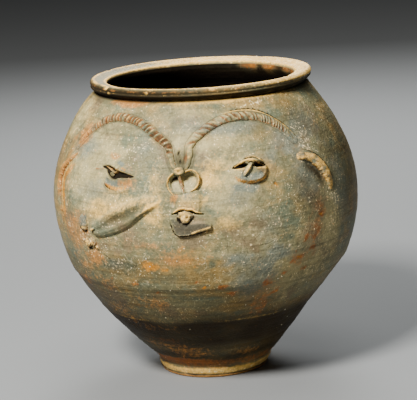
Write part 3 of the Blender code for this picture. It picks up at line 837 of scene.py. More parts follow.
@dataclass(frozen=True)
class Strip:
    """Clay laid along a line, with knife strokes across it where it has them."""

    name: str
    knots: tuple[Place, ...]
    form: Form
    section: Section = Section()
    bed: float = 0.002
    step: float = 0.0003
    across: int = 16
    strokes: tuple[tuple[float, float], ...] = ((0.0, 1.0),)
    stroke_depth: float = 0.0
    stroke_slant: float = 0.0
    stroke_rust: float = 0.06
    stroke_span: tuple[float, float] = (0.0, 1.0)
    seat: float = 0.0
    worn: float = 0.6
    tint: tuple[Mark, float, float, float] = (PALE, 0.0, 1.0, 0.0)
    flank_shade_and_rust: float = 0.55
    wear: float = 0.7
    pits: float = 0.0
    uneven: float = 0.1
    seed: int = 1

    def path_mesh(self, skin: Skin) -> bpy.types.Mesh:
        """The line as a mesh whose points know the strip's directions and form."""
        wall = skin.wall
        line = wall.path(self.knots, 0.001)
        marks = wall.at(line, skin.seat(line) + self.seat)
        out = wall.out(np.radians(line[:, 0]), wall.height(line[:, 1]))
        along = np.gradient(marks, axis=0)
        side = np.cross(out, along)
        side /= np.linalg.norm(side, axis=1, keepdims=True)
        place = lengths(marks)
        share = place / place[-1]
        knots = np.array(self.form)
        rough = 1.0 + self.uneven * (wobble(marks, 0.006, self.seed) + 0.7 * wobble(marks, 0.0022, self.seed + 2))
        half = np.interp(share, knots[:, 0], knots[:, 1]) * rough
        rise = np.interp(share, knots[:, 0], knots[:, 2]) * (1.0 + self.uneven * wobble(marks, 0.004, self.seed + 5))
        half[[0, -1]], rise[[0, -1]] = 0.0, -self.bed
        low, high = self.stroke_span
        bite = self.stroke_depth * smooth(low - 0.03, low + 0.05, share) * (1.0 - smooth(high - 0.08, high, share))
        bite *= np.maximum(1.0 + 0.65 * wobble(marks, 0.009, self.seed + 9), 0.15)
        pitch = np.interp(share, *np.array(self.strokes).T)
        count = np.cumsum(np.gradient(place) / pitch) + 0.34 * wobble(marks, 0.01, self.seed + 3)
        mesh = bpy.data.meshes.new(f"{self.name}_line")
        mesh.from_pydata(marks.tolist(), [(i, i + 1) for i in range(len(marks) - 1)], [])
        for name, rows in (("out", out), ("side", side), ("form", np.stack((half, rise, bite), axis=1))):
            layer = mesh.attributes.new(name, "FLOAT_VECTOR", "POINT")
            layer.data.foreach_set("vector", rows.astype(np.float32).ravel())
        write(mesh, "count", count)
        return mesh

    def tree(self, length: float, clay: bpy.types.Material) -> Grower:
        """The tree that sweeps the section along the line."""
        grow = Grower(self.name, {"Steps along": max(12, round(length / self.step)), "Steps round": self.across,
                                  "Bed": self.bed, "Stroke slant": self.stroke_slant})
        along, around, _ = grow.split(grow.value("GeometryNodeInputPosition"))
        along, around = along + 0.5, around + 0.5
        curve = grow.value("GeometryNodeMeshToCurve", None, {0: grow.group.outputs["Geometry"]})

        def sampled(name: str, kind: str) -> bpy.types.Node:
            """Read a value along the line."""
            return grow.add("GeometryNodeSampleCurve", {"data_type": kind, "mode": "FACTOR", "use_all_curves": True},
                            {"Curves": curve, "Value": grow.named(name, kind), "Factor": along})

        form = sampled("form", "FLOAT_VECTOR")
        half, rise, bite = grow.split(form.outputs["Value"])
        count = Value(grow, sampled("count", "FLOAT").outputs["Value"])
        shares = []
        for points in self.section.curves():
            node = grow.add("ShaderNodeFloatCurve", None, {"Value": around})
            curve_points = node.mapping.curves[0].points
            for place in points[1:-1]:
                curve_points.new(*place)
            curve_points[0].location, curve_points[-1].location = points[0], points[-1]
            for point in curve_points:
                point.handle_type = "VECTOR"
            node.mapping.update()
            shares.append(Value(grow, node.outputs[0]))
        sideways, crown = shares[0] * 2.0 - 1.0, shares[1]
        beat = (count + sideways * grow.given("Stroke slant")).wrap()
        groove = ((beat - 0.5).size() * 2.0).step(0.15, 0.85)
        lift = (rise + grow.given("Bed")) * crown - grow.given("Bed") - groove * bite * crown.step(0.45, 0.9)
        place = grow.vector("ADD", form.outputs["Position"],
                            grow.scaled(sampled("side", "FLOAT_VECTOR").outputs["Value"], half * sideways))
        place = grow.vector("ADD", place, grow.scaled(sampled("out", "FLOAT_VECTOR").outputs["Value"], lift))
        cut = groove * (bite * STROKE_DARK).held()
        mesh = grow.grid(grow.given("Steps along") + 1.0, grow.given("Steps round") + 1.0)
        mesh = grow.keep(mesh, "crest", crown * (1.0 - cut))
        mesh = grow.keep(mesh, "groove", cut * crown)
        mesh = grow.keep(mesh, "along", along)
        grow.finish(grow.placed(mesh, place, 4e-6), clay)
        return grow

    def build(self, skin: Skin) -> bpy.types.Object:
        """Make the strip a piece."""
        line = self.path_mesh(skin)
        length = float(lengths(positions(line))[-1])
        mesh = self.tree(length, skin.clay).grow(line, self.name)
        point_outwards(mesh)
        marks = new_marks(len(mesh.vertices))
        points = positions(mesh)
        patchy = 0.6 + 0.4 * wobble(points, 0.011, self.seed + 21)
        crest, groove = read(mesh, "crest"), read(mesh, "groove")
        marks[BARE] = self.worn * smooth(self.wear, self.wear + 0.3, crest) * patchy
        pits = self.pits * smooth(0.3, 0.6, wobble(points, 0.0018, self.seed + 31))
        drawn = groove * np.clip(0.7 + 0.7 * wobble(points, 0.0042, self.seed + 41), 0.0, 1.0)
        # The knife strokes are painted in shade, and so are the strip's flanks and pits, which are also rusty.
        marks[SOOT] = 0.62 * smooth(0.05, 0.6, drawn)
        marks[HOLLOW] = np.maximum(np.maximum(0.42 * drawn**2, self.flank_shade_and_rust * smooth(0.4, 0.0, crest)), pits)
        marks[RUST] = np.maximum(np.maximum(self.stroke_rust * groove, self.flank_shade_and_rust * smooth(0.85, 0.3, crest)), pits)
        mark, low, high, strength = self.tint
        along = read(mesh, "along")
        within = smooth(low - 0.1, low + 0.05, along) * smooth(high + 0.1, high - 0.05, along)
        marks[mark] = np.maximum(marks[mark], strength * within * patchy)
        return skin.dress(mesh, self.name, marks)


@dataclass(frozen=True)
class Pellet:
    """A lump of clay pressed on or into the wall."""

    name: str
    place: Place
    across: float
    up: float
    rise: float
    tilt: float = 0.0
    taper: float = 0.0
    bed: float = 0.0016
    seat: float = 0.0
    fullness: float = 0.8
    dents: tuple[tuple[float, float, float, float], ...] = ()
    rough: float = 0.05
    worn: float = 0.5
    seed: int = 1
    detail: int = 4
    shade: float = 0.0
    # The last two settings paint the whole pellet, and its lower left side, in shade.
    dark: float = 0.0
    far_side_shade: float = 0.0

    def lay(self, relief: Relief) -> None:
        """Paint shade on the wall round it, most below it and to its left."""
        pick, x, y = relief.near(self.place, self.across + self.up, self.tilt)
        away = np.hypot(x / (0.5 * self.across), y / (0.5 * self.up))
        torn = 0.25 * wobble(relief.flat[pick], 0.004, self.seed)
        below = 0.35 + 0.65 * smooth(0.8, -0.3, (y / self.up + x / self.across) + torn)
        relief.stain(HOLLOW, pick, self.shade * smooth(1.5, 1.05, away + torn) * below)

    def build(self, skin: Skin) -> bpy.types.Object:
        """Make the pellet a piece."""
        work = bmesh.new()
        bmesh.ops.create_icosphere(work, subdivisions=self.detail, radius=1.0)
        mesh = bpy.data.meshes.new(self.name)
        work.to_mesh(mesh)
        work.free()
        ball = positions(mesh)
        ball *= (1.0 + self.rough * wobble(ball, 1.1, self.seed))[:, None]
        x = 0.5 * self.across * ball[:, 0] * (1.0 + self.taper * ball[:, 1])
        y = 0.5 * self.up * ball[:, 1]
        z = np.where(ball[:, 2] > 0.0, self.rise * np.abs(ball[:, 2]) ** self.fullness, self.bed * ball[:, 2])
        dip = np.zeros(len(ball))
        for at_x, at_y, wide, deep in self.dents:
            dip += deep * hump(np.hypot(x - at_x, y - at_y), wide) * smooth(0.0, 0.5, ball[:, 2])
        z -= dip
        c, s = math.cos(self.tilt), math.sin(self.tilt)
        middle, right, up, out = skin.wall.frame(self.place)
        seat = float(skin.seat(np.array([self.place]))[0]) + self.seat
        points = (middle + out * seat + np.outer(x * c - y * s, right) + np.outer(x * s + y * c, up)
                  + np.outer(z, out))
        place_points(mesh, points)
        point_outwards(mesh)
        marks = new_marks(len(points))
        marks[BARE] = self.worn * smooth(0.35, 0.95, ball[:, 2]) * (0.65 + 0.35 * wobble(points, 0.004, self.seed))
        # Painted shade in the dents, round the pellet's foot and on its far side.
        marks[HOLLOW] = (np.clip(dip / DENT_DARK - 0.15, 0.0, 0.8) + 0.6 * (1.0 - smooth(-0.05, 0.35, ball[:, 2]))
                         + self.dark + self.far_side_shade * smooth(0.34, 0.54, -0.85 * ball[:, 0] - 0.45 * ball[:, 1]))
        return skin.dress(mesh, self.name, marks)


# The relief of the face

Line = tuple[Place, ...]
Care = tuple[Line, float, int]


@dataclass(frozen=True)
class Groove:
    """A line cut or scratched into the clay, or raised where its depth is negative."""

    knots: Line
    depth: float
    half_width: float
    mark: Mark = HOLLOW
    strength: float = 0.8
    taper: float = 0.12

    def lay(self, relief: Relief) -> None:
        """Cut it."""
        pick, along, side = relief.beside(self.knots, 3.0 * self.half_width)
        shape = hump(side, self.half_width) * (0.15 + 0.85 * both_ends(along, self.taper, self.taper))
        torn = 0.82 + 0.45 * wobble(relief.flat[pick], 0.0032, 61)
        relief.add(pick, -self.depth * shape * (0.6 + 0.4 * torn))
        # With its default mark the line is painted in shade.
        relief.stain(self.mark, pick, self.strength * shape * torn)


@dataclass(frozen=True, kw_only=True)
class Part:
    """A part of the face: lines drawn in the wall, clay laid on it, and where the mesh must be finer.

    A care is a line, how far from it the mesh is fine, and how many times it is halved.
    """

    grooves: tuple[Groove, ...] = ()
    strips: tuple[Strip, ...] = ()
    pellets: tuple[Pellet, ...] = ()
    cares: tuple[Care, ...] = ()

    def lay(self, relief: Relief) -> None:
        """Draw the lines, and paint shade on the wall round the pellets."""
        for form in (*self.grooves, *(pellet for pellet in self.pellets if pellet.shade)):
            form.lay(relief)

    def care(self) -> tuple[Care, ...]:
        """Lines that want a finer mesh."""
        return self.cares


@dataclass(frozen=True)
class Cheek(Part):
    """The tapering rod across the left cheek, two ridges with a shallow valley between."""

    upper_edge: Line = (
        (-37.6, -0.057), (-32.2, 0.027), (-27, 0.107), (-21.9, 0.171), (-17.1, 0.217), (-12.6, 0.243), (-9, 0.222))
    lower_edge: Line = (
        (-9, 0.152), (-12.2, 0.094), (-15.4, 0.041), (-18.4, -0.015), (-22.5, -0.064), (-28, -0.112), (-33.9, -0.142),
        (-37.8, -0.128))
    upper_ridge: Line = (
        (-38, -0.092), (-32.9, -0.001), (-27.1, 0.065), (-21.9, 0.126), (-17.1, 0.182), (-13, 0.208), (-9.8, 0.21))
    lower_ridge: Line = (
        (-36.5, -0.112), (-32.9, -0.098), (-27.7, -0.063), (-22.3, -0.01), (-17.2, 0.054), (-13.5, 0.109),
        (-10.3, 0.156), (-7.6, 0.196))
    valley: Line = ((-35.5, -0.095), (-31, -0.045), (-26, 0.022), (-21.5, 0.068), (-17, 0.115), (-13, 0.16))
    outer_line: Line = ((-35, -0.17), (-28.2, -0.145), (-22.8, -0.104), (-19.6, -0.073), (-17.6, -0.052))
    rise: float = 0.0024
    ridge: float = 0.0013
    valley_depth: float = 0.0009
    valley_shade: float = 0.6
    # Painted shadow under the rod's lower edge, and a painted highlight along its lit upper edge.
    grooves: tuple[Groove, ...] = (
        Groove(lower_edge[:-1], 0.0005, 0.0008, HOLLOW, 0.45, 0.3),
        Groove(upper_edge, -0.0003, 0.0014, PALE, 0.6, 0.2), Groove(outer_line, -0.0004, 0.0008, BARE, 0.55))
    cares: tuple[Care, ...] = ((valley, 0.014, 2), (lower_ridge, 0.0045, 3), (upper_ridge, 0.004, 3))

    def lay(self, relief: Relief) -> None:
        """Lay the rod."""
        pick, inside = relief.within(self.upper_edge + self.lower_edge, 0.004)
        relief.stain(SOOT, pick, 0.34 * smooth(0.0, 0.003, inside))
        away_up = np.full(len(relief.height), 0.02)
        near, _, side = relief.beside(self.upper_edge, 0.012)
        away_up[near] = np.abs(side)
        turn = np.degrees(relief.turn[pick])
        soft = 0.0014 + 0.0046 * smooth(0.009, 0.004, away_up[pick]) + 0.0024 * smooth(-24.0, -11.0, turn)
        root = smooth(-39.5, -33.0, turn)
        lift = self.rise * (0.25 + 0.75 * root) * smooth(-0.0004, 1.0, inside / soft)
        relief.lay(pick, lift - SINK * (inside < -0.0004), 0.0006)
        near, along, side = relief.beside(self.upper_ridge, 0.007)
        fade = both_ends(along, 0.08, 0.12)
        relief.add(near, self.ridge * 0.75 * hump(side, 0.0024) * fade)
        near, along, side = relief.beside(self.lower_ridge, 0.007)
        fade = both_ends(along, 0.05, 0.05)
        relief.add(near, self.ridge * hump(side, 0.0019) * fade)
        relief.stain(BARE, near, 0.9 * hump(side - 0.0006, 0.0011) * smooth(0.66, 0.95, along))
        near, along, side = relief.beside(self.valley, 0.008)
        fade = both_ends(along, 0.1, 0.2)
        relief.add(near, -self.valley_depth * hump(side, 0.0026) * fade)
        # Painted shade in the valley between the ridges.
        relief.stain(SOOT, near, self.valley_shade * hump(side, 0.0042) * fade)
        super().lay(relief)


@dataclass(frozen=True)
class Nose(Part):
    """A low mound under the brows, scooped by two nostrils, over a faint muzzle.

    The mound stands at its rise under the brows and at its foot's rise at the bottom. A scoop goes
    from its sill, above the wall, to its depth below the wall.
    """

    mound: Line = (
        (-1.2, 0.46), (-3.4, 0.432), (-4.7, 0.385), (-4.6, 0.334), (-3.4, 0.27), (1.2, 0.258), (4.2, 0.278),
        (6.2, 0.318), (7.1, 0.375), (6.6, 0.425), (4.7, 0.454), (1.6, 0.452))
    left_scoop: Line = (
        (-1, 0.41), (-2.8, 0.398), (-3.7, 0.37), (-3.5, 0.33), (-2.6, 0.28), (-0.8, 0.24), (0.4, 0.272), (-0.1, 0.34))
    right_scoop: Line = (
        (0.6, 0.41), (2.4, 0.424), (4.6, 0.43), (6, 0.398), (6, 0.35), (4.6, 0.3), (2.6, 0.268), (1.5, 0.28),
        (0.9, 0.34))
    muzzle: Line = (
        (-3.6, 0.27), (-3.1, 0.216), (-2.4, 0.165), (-2.2, 0.118), (0.8, 0.126), (3.6, 0.12), (6.6, 0.104),
        (7.1, 0.15), (7.3, 0.197), (7.1, 0.247), (6.3, 0.295), (3, 0.29), (0, 0.262))
    bridge_cut: Line = ((-0.4, 0.64), (-0.6, 0.585), (0, 0.524), (0.6, 0.478))
    rise: float = 0.0043
    foot_rise: float = 0.0012
    muzzle_rise: float = 0.0011
    scoop: float = 0.0012
    sill: float = 0.0016
    form: Form = (
        (0, 0.0008, 0.001), (0.08, 0.001, 0.0017), (0.5, 0.0009, 0.0018), (0.85, 0.0008, 0.0012), (1, 0.0004, 0.0003))
    # The dark lines are painted shade in the cuts of the bridge and outside the nostril rims.
    grooves: tuple[Groove, ...] = (
        Groove(((-0.3, 0.404), (0.1, 0.351), (0.8, 0.307), (1.4, 0.262)), 0.0006, 0.0007, RUST, 0.9),
        Groove(bridge_cut, 0.0011, 0.0015, HOLLOW, 0.8, 0.3),
        Groove(((-3.6, 0.64), (-3, 0.57), (-1.8, 0.505), (-0.6, 0.462)), 0.0008, 0.001, HOLLOW, 0.55, 0.3),
        Groove(((2.4, 0.63), (2, 0.56), (1.4, 0.505), (0.9, 0.47)), 0.0008, 0.0009, HOLLOW, 0.5, 0.3),
        Groove(((7.4, 0.4), (7.9, 0.36), (7.2, 0.31), (5.8, 0.28)), 0.0004, 0.0008, HOLLOW, 0.8),
        Groove(((-5.2, 0.39), (-5.3, 0.34), (-4.6, 0.285)), 0.0004, 0.0008, HOLLOW, 0.8),
        Groove(((6.6, 0.28), (7.5, 0.245), (7.7, 0.197), (7.2, 0.15)), 0.0002, 0.0006, BARE, 0.25))
    strips: tuple[Strip, ...] = (
        Strip(
            "nostril_rim_left", ((-0.6, 0.444), (-1.7, 0.43), (-3.1, 0.408), (-4.2, 0.376), (-4.5, 0.339),
            (-4.1, 0.297), (-2.9, 0.262), (-1.9, 0.236)), form, worn=1.4, seed=31, across=18, wear=0.45, flank_shade_and_rust=0.45,
            uneven=0.18),
        Strip(
            "nostril_rim_right", ((1, 0.438), (1.9, 0.432), (3, 0.442), (4.6, 0.446), (6, 0.427), (6.8, 0.388),
            (6.6, 0.345), (5.5, 0.307), (4.2, 0.287), (3.2, 0.28)), form, worn=1.4, seed=37, across=18, wear=0.45,
            flank_shade_and_rust=0.45, uneven=0.18),
        Strip(
            "nostril_septum", ((0.2, 0.436), (0.2, 0.4), (0.7, 0.352), (1.3, 0.308), (1.9, 0.262)),
            ((0, 0.001, 0.0016), (0.4, 0.0008, 0.0008), (1, 0.0006, 0.0002)), worn=0.3, seed=41, seat=0.0002,
            tint=(RUST, 0, 0.75, 0.7)))
    pellets: tuple[Pellet, ...] = (
        Pellet(
            "nose_knob", (-0.1, 0.44), 0.01, 0.007, 0.0028, dents=((-0.0002, -0.0004, 0.002, 0.0009),), seat=0.001,
            worn=1, seed=3, rough=0.12),)
    cares: tuple[Care, ...] = (
        (((1.4, 0.62), (1.4, 0.3)), 0.019, 2), (((1.2, 0.4), (1.6, 0.33)), 0.012, 3), (bridge_cut, 0.003, 3),
        (((7.1, 0.25), (6.6, 0.13)), 0.002, 3))

    def lay(self, relief: Relief) -> None:
        """Lay the mound and the muzzle and scoop the nostrils."""
        pick, inside = relief.within(self.muzzle, 0.003)
        lift = self.muzzle_rise * smooth(-0.0001, 0.0022, inside)
        relief.lay(pick, lift - SINK * (inside < -0.0001), 0.0003)
        pick, inside = relief.within(self.mound, 0.003)
        share = relief.share[pick]
        full = self.foot_rise + (self.rise - self.foot_rise) * smooth(0.26, 0.43, share)
        relief.lay(pick, full * smooth(-0.0006, 0.001, inside) - SINK * (inside < -0.0006), 0.0004)
        for outline, low in ((self.left_scoop, 0.335), (self.right_scoop, 0.385)):
            pick, inside = relief.within(outline, 0.002)
            share = relief.share[pick]
            floor = self.sill - (self.sill + self.scoop) * smooth(0.25, 0.4, share)
            deep = smooth(-0.0002, 0.001, inside)
            relief.cut(pick, floor, deep)
            # Painted shadow in the upper part of each nostril.
            relief.stain(HOLLOW, pick, 0.9 * deep * smooth(low, low + 0.06, share))
            relief.stain(PALE, pick, 0.5 * deep)
        super().lay(relief)


@dataclass(frozen=True)
class Mouth(Part):
    """A cut with a thin lip over it, a pellet hanging out of it and a pad for the chin."""

    tail: Line = ((-3.2, 0.093), (-5.2, 0.092), (-7.4, 0.09), (-9.8, 0.082))
    slit: Line = ((-3.3, 0.092), (-1.4, 0.102), (0.7, 0.112), (2.8, 0.11), (5, 0.092), (7.6, 0.084))
    chin: Line = (
        (-4.3, 0.049), (-3.8, 0.003), (-3.2, -0.045), (-2.4, -0.084), (-1.2, -0.097), (0.4, -0.098), (3, -0.09),
        (5.9, -0.073), (8.4, -0.058), (9.9, -0.05), (10.3, -0.012), (8.8, 0.01), (6.6, 0.018), (4, 0.016),
        (0.8, 0.02), (-1.6, 0.044), (-3.2, 0.06))
    lower_edge: Line = (
        (-4.3, 0.03), (-3.7, -0.04), (-2.6, -0.094), (-1.2, -0.106), (0.4, -0.107), (3, -0.099), (5.9, -0.082),
        (8.4, -0.067), (10.3, -0.058))
    rise: float = 0.0031
    chin_low: float = -0.098  # share of the chin's lower edge in the middle of the face
    chin_slant: float = 0.0042  # how many shares that edge climbs with each degree to the right
    depth: float = 0.0032
    half_width: float = 0.0011
    # The first groove is a painted shadow under the chin pad's lower edge.
    grooves: tuple[Groove, ...] = (
        Groove(lower_edge, 0.0005, 0.0008, HOLLOW, 0.95, 0.05),
        Groove(
            ((2.6, -0.08), (4.9, -0.058), (6.8, -0.044), (8.7, -0.032), (10.2, -0.022)), -0.0005, 0.0008, BARE, 1,
            0.15),
        Groove(((-2.6, -0.082), (-0.8, -0.09), (1.4, -0.088), (2.8, -0.08)), -0.0004, 0.0006, LIME, 1),
        Groove(tail, 0.0003, 0.0005, LIME, 0.9))
    strips: tuple[Strip, ...] = (
        Strip(
            "upper_lip", ((-3.3, 0.098), (-2.1, 0.117), (-0.9, 0.134), (0.8, 0.141), (2.6, 0.132), (3.8, 0.13),
            (5, 0.108), (6.1, 0.1), (7.5, 0.092)), ((0, 0.0004, 0.0003), (0.15, 0.001, 0.0011), (0.4, 0.0012, 0.0015),
            (0.65, 0.0011, 0.0014), (0.9, 0.0007, 0.0009), (1, 0.0003, 0.0002)), worn=1.5, seed=51, uneven=0.28,
            wear=0.4, flank_shade_and_rust=0.35),)
    pellets: tuple[Pellet, ...] = (
        Pellet(
            "tongue", (1.2, 0.066), 0.0112, 0.0104, 0.004, taper=0.26, bed=0.003, fullness=0.65,
            dents=((-0.0036, 0.0006, 0.0008, 0.0015), (0.0024, 0.0004, 0.0009, 0.001),
            (0.0016, -0.0008, 0.0008, 0.001), (0.0006, -0.002, 0.0007, 0.0008)),
            rough=0.22, worn=1.2, seed=7, shade=1),)
    cares: tuple[Care, ...] = (
        (((-1, 0.02), (6, 0.02)), 0.02, 2), (slit, 0.0035, 3), (lower_edge, 0.003, 3),
        (((10.2, -0.06), (10.3, 0)), 0.002, 3), (tail, 0.0015, 3))

    def lay(self, relief: Relief) -> None:
        """Cut the mouth and lay the chin."""
        pick, inside = relief.within(self.chin, 0.004)
        share = relief.share[pick]
        turn = np.degrees(relief.turn[pick])
        lower = self.chin_low + self.chin_slant * np.clip(turn, 0.0, 12.0)
        up = (share - lower) * relief.wall.shoulder_rise
        lift = self.rise * (1.0 - 0.92 * smooth(0.001, 0.0125, up)) * smooth(-0.0002, 0.0009, inside)
        relief.lay(pick, lift - SINK * (inside < -0.0002), 0.0003)
        # The chin pad is darker above its lower edge: sooty clay and painted shade.
        relief.stain(SOOT, pick, 0.72 * smooth(0.0002, 0.002, inside) * (1.0 - smooth(0.008, 0.02, up)))
        relief.stain(COOL, pick, 0.45 * smooth(0.0, 0.002, inside))
        pick, along, side = relief.beside(self.slit, 0.004)
        half = self.half_width * (1.0 - 0.55 * np.abs(2.0 * along - 1.0) ** 2)
        deep = 1.0 - smooth(0.35, 1.15, np.abs(side + 0.0002) / half)
        relief.add(pick, -self.depth * deep)
        # Painted shade in the cut of the mouth.
        relief.stain(HOLLOW, pick, deep)
        super().lay(relief)


@dataclass(frozen=True)
class Eye(Part):
    """A round mound or an almond pad, split by the knife, with lids."""

    middle: Place
    length: float
    width: float
    tilt: float
    rise: float
    edge: float
    slits: tuple[tuple[Line, float, float], ...]
    lower_lid: Line
    lid_rise: float
    lid_half: float
    lid_worn: float = 0.8

    def lay(self, relief: Relief) -> None:
        """Lay the pad, raise the lower lid and cut the slits."""
        pick, x, y = relief.near(self.middle, 0.7 * self.length, self.tilt)
        away = np.hypot(x / (0.5 * self.length), y / (0.5 * self.width))
        lift = self.rise * (1.0 - smooth(1.0 - self.edge, 1.0, away)) * (1.0 - 0.12 * away * away)
        relief.lay(pick, np.where(away < 1.05, lift, -SINK), 0.0005)
        pick, along, side = relief.beside(self.lower_lid, 0.006)
        ends = both_ends(along, 0.2, 0.2)
        relief.add(pick, self.lid_rise * hump(side, self.lid_half) * ends)
        relief.stain(BARE, pick, self.lid_worn * hump(side + 0.4 * self.lid_half, 0.8 * self.lid_half)
                     * (0.25 + 0.75 * ends))
        for knots, half_width, depth in self.slits:
            pick, along, side = relief.beside(knots, 0.004)
            half = half_width * (1.0 - 0.75 * np.abs(2.0 * along - 1.0) ** 2.5)
            deep = 1.0 - smooth(0.45, 1.15, np.abs(side) / half)
            relief.cut(pick, -depth, deep)
            # Painted shade in the slits.
            relief.stain(HOLLOW, pick, deep)
        super().lay(relief)

    def care(self) -> tuple[Care, ...]:
        """The eye, finest in its middle."""
        line = tuple((self.middle[0] + away, self.middle[1]) for away in (-3.0, 3.0))
        return (line, 0.58 * self.length, 2), (line, 0.011, 3)


LEFT_EYE_UNDER: Line = ((-31.6, 0.364), (-30.4, 0.335), (-29.2, 0.314), (-26.4, 0.289), (-23.9, 0.287), (-21.6, 0.3))
LEFT_EYE = Eye(
    (-25.6, 0.398), 0.033, 0.027, -0.12, 0.004, 0.85,
    slits=(
        (((-33.4, 0.47), (-30.4, 0.464), (-27.4, 0.44), (-24.6, 0.414), (-21.6, 0.406), (-18.4, 0.402)),
         0.0031, 0.0014),
        (((-30.6, 0.448), (-28.6, 0.416), (-26.2, 0.388), (-23.6, 0.392)), 0.0024, 0.0008)),
    lower_lid=(
        (-31.2, 0.372), (-30, 0.322), (-28, 0.296), (-25.8, 0.283), (-22.9, 0.283), (-20.2, 0.296), (-18.4, 0.32)),
    lid_rise=0.0019,
    lid_half=0.0021,
    # The dark lines paint shadow under the lids and round the eye.
    grooves=(
        Groove(((-37, 0.445), (-34.4, 0.447), (-31.8, 0.455)), -0.0004, 0.0009, RUST, 1),
        Groove(((-37, 0.441), (-34.4, 0.442), (-31.4, 0.447)), 0, 0.0006, HOLLOW, 0.5),
        Groove(LEFT_EYE_UNDER, 0.0005, 0.0015, RUST, 1, 0.25), Groove(LEFT_EYE_UNDER, 0, 0.0014, HOLLOW, 0.42, 0.25),
        Groove(
            ((-31.8, 0.366), (-30.8, 0.334), (-29.4, 0.308), (-26.4, 0.281), (-23.6, 0.279)), 0.0004, 0.0007, HOLLOW,
            0.95, 0.3),
        Groove(
            ((-30.6, 0.346), (-29, 0.318), (-26.4, 0.298), (-23.4, 0.294), (-20.6, 0.304), (-18.6, 0.326)), 0, 0.0018,
            OCHRE, 0.95, 0.2),
        Groove(((-30.4, 0.372), (-28.6, 0.35), (-26, 0.34), (-22.6, 0.348)), 0, 0.0026, COOL, 1),
        Groove(((-26, 0.52), (-24.4, 0.505), (-22.9, 0.482)), -0.0005, 0.0018, COOL, 1),
        Groove(((-23.6, 0.47), (-22.6, 0.458), (-21.4, 0.444)), -0.0003, 0.0013, OCHRE, 0.9),
        Groove(((-24.5, 0.35), (-21.5, 0.348), (-18.4, 0.365)), 0, 0.0036, WARM, 0.7)),
    strips=(
        Strip(
            "eye_left_lip", ((-31.6, 0.476), (-29.4, 0.458), (-27.6, 0.44), (-26, 0.426), (-25, 0.442),
            (-24.2, 0.468)), ((0, 0.0003, 0.0004), (0.3, 0.0007, 0.0012), (0.7, 0.0009, 0.0016), (1, 0.0004, 0.0004)),
            Section(0.9), worn=0.4, seed=61, seat=0.001, uneven=0.25, tint=(OCHRE, 0, 1, 0.7)),
        Strip(
            "eye_left_upper_lid", ((-27.4, 0.462), (-25, 0.452), (-22.4, 0.436), (-20.4, 0.424), (-18.6, 0.412)),
            ((0, 0.0004, 0.0002), (0.3, 0.0009, 0.0007), (0.75, 0.0008, 0.0006), (1, 0.0003, 0.0001)), worn=0.7,
            seed=63, uneven=0.2, tint=(OCHRE, 0, 1, 0.7))),
    pellets=(
        Pellet(
            "eye_left_ball", (-27.4, 0.412), 0.0052, 0.0034, 0.0018, tilt=-0.5, seat=0.0004, rough=0.16, worn=0,
            seed=13, shade=0.9, dark=0.6),),
    lid_worn=0.12)

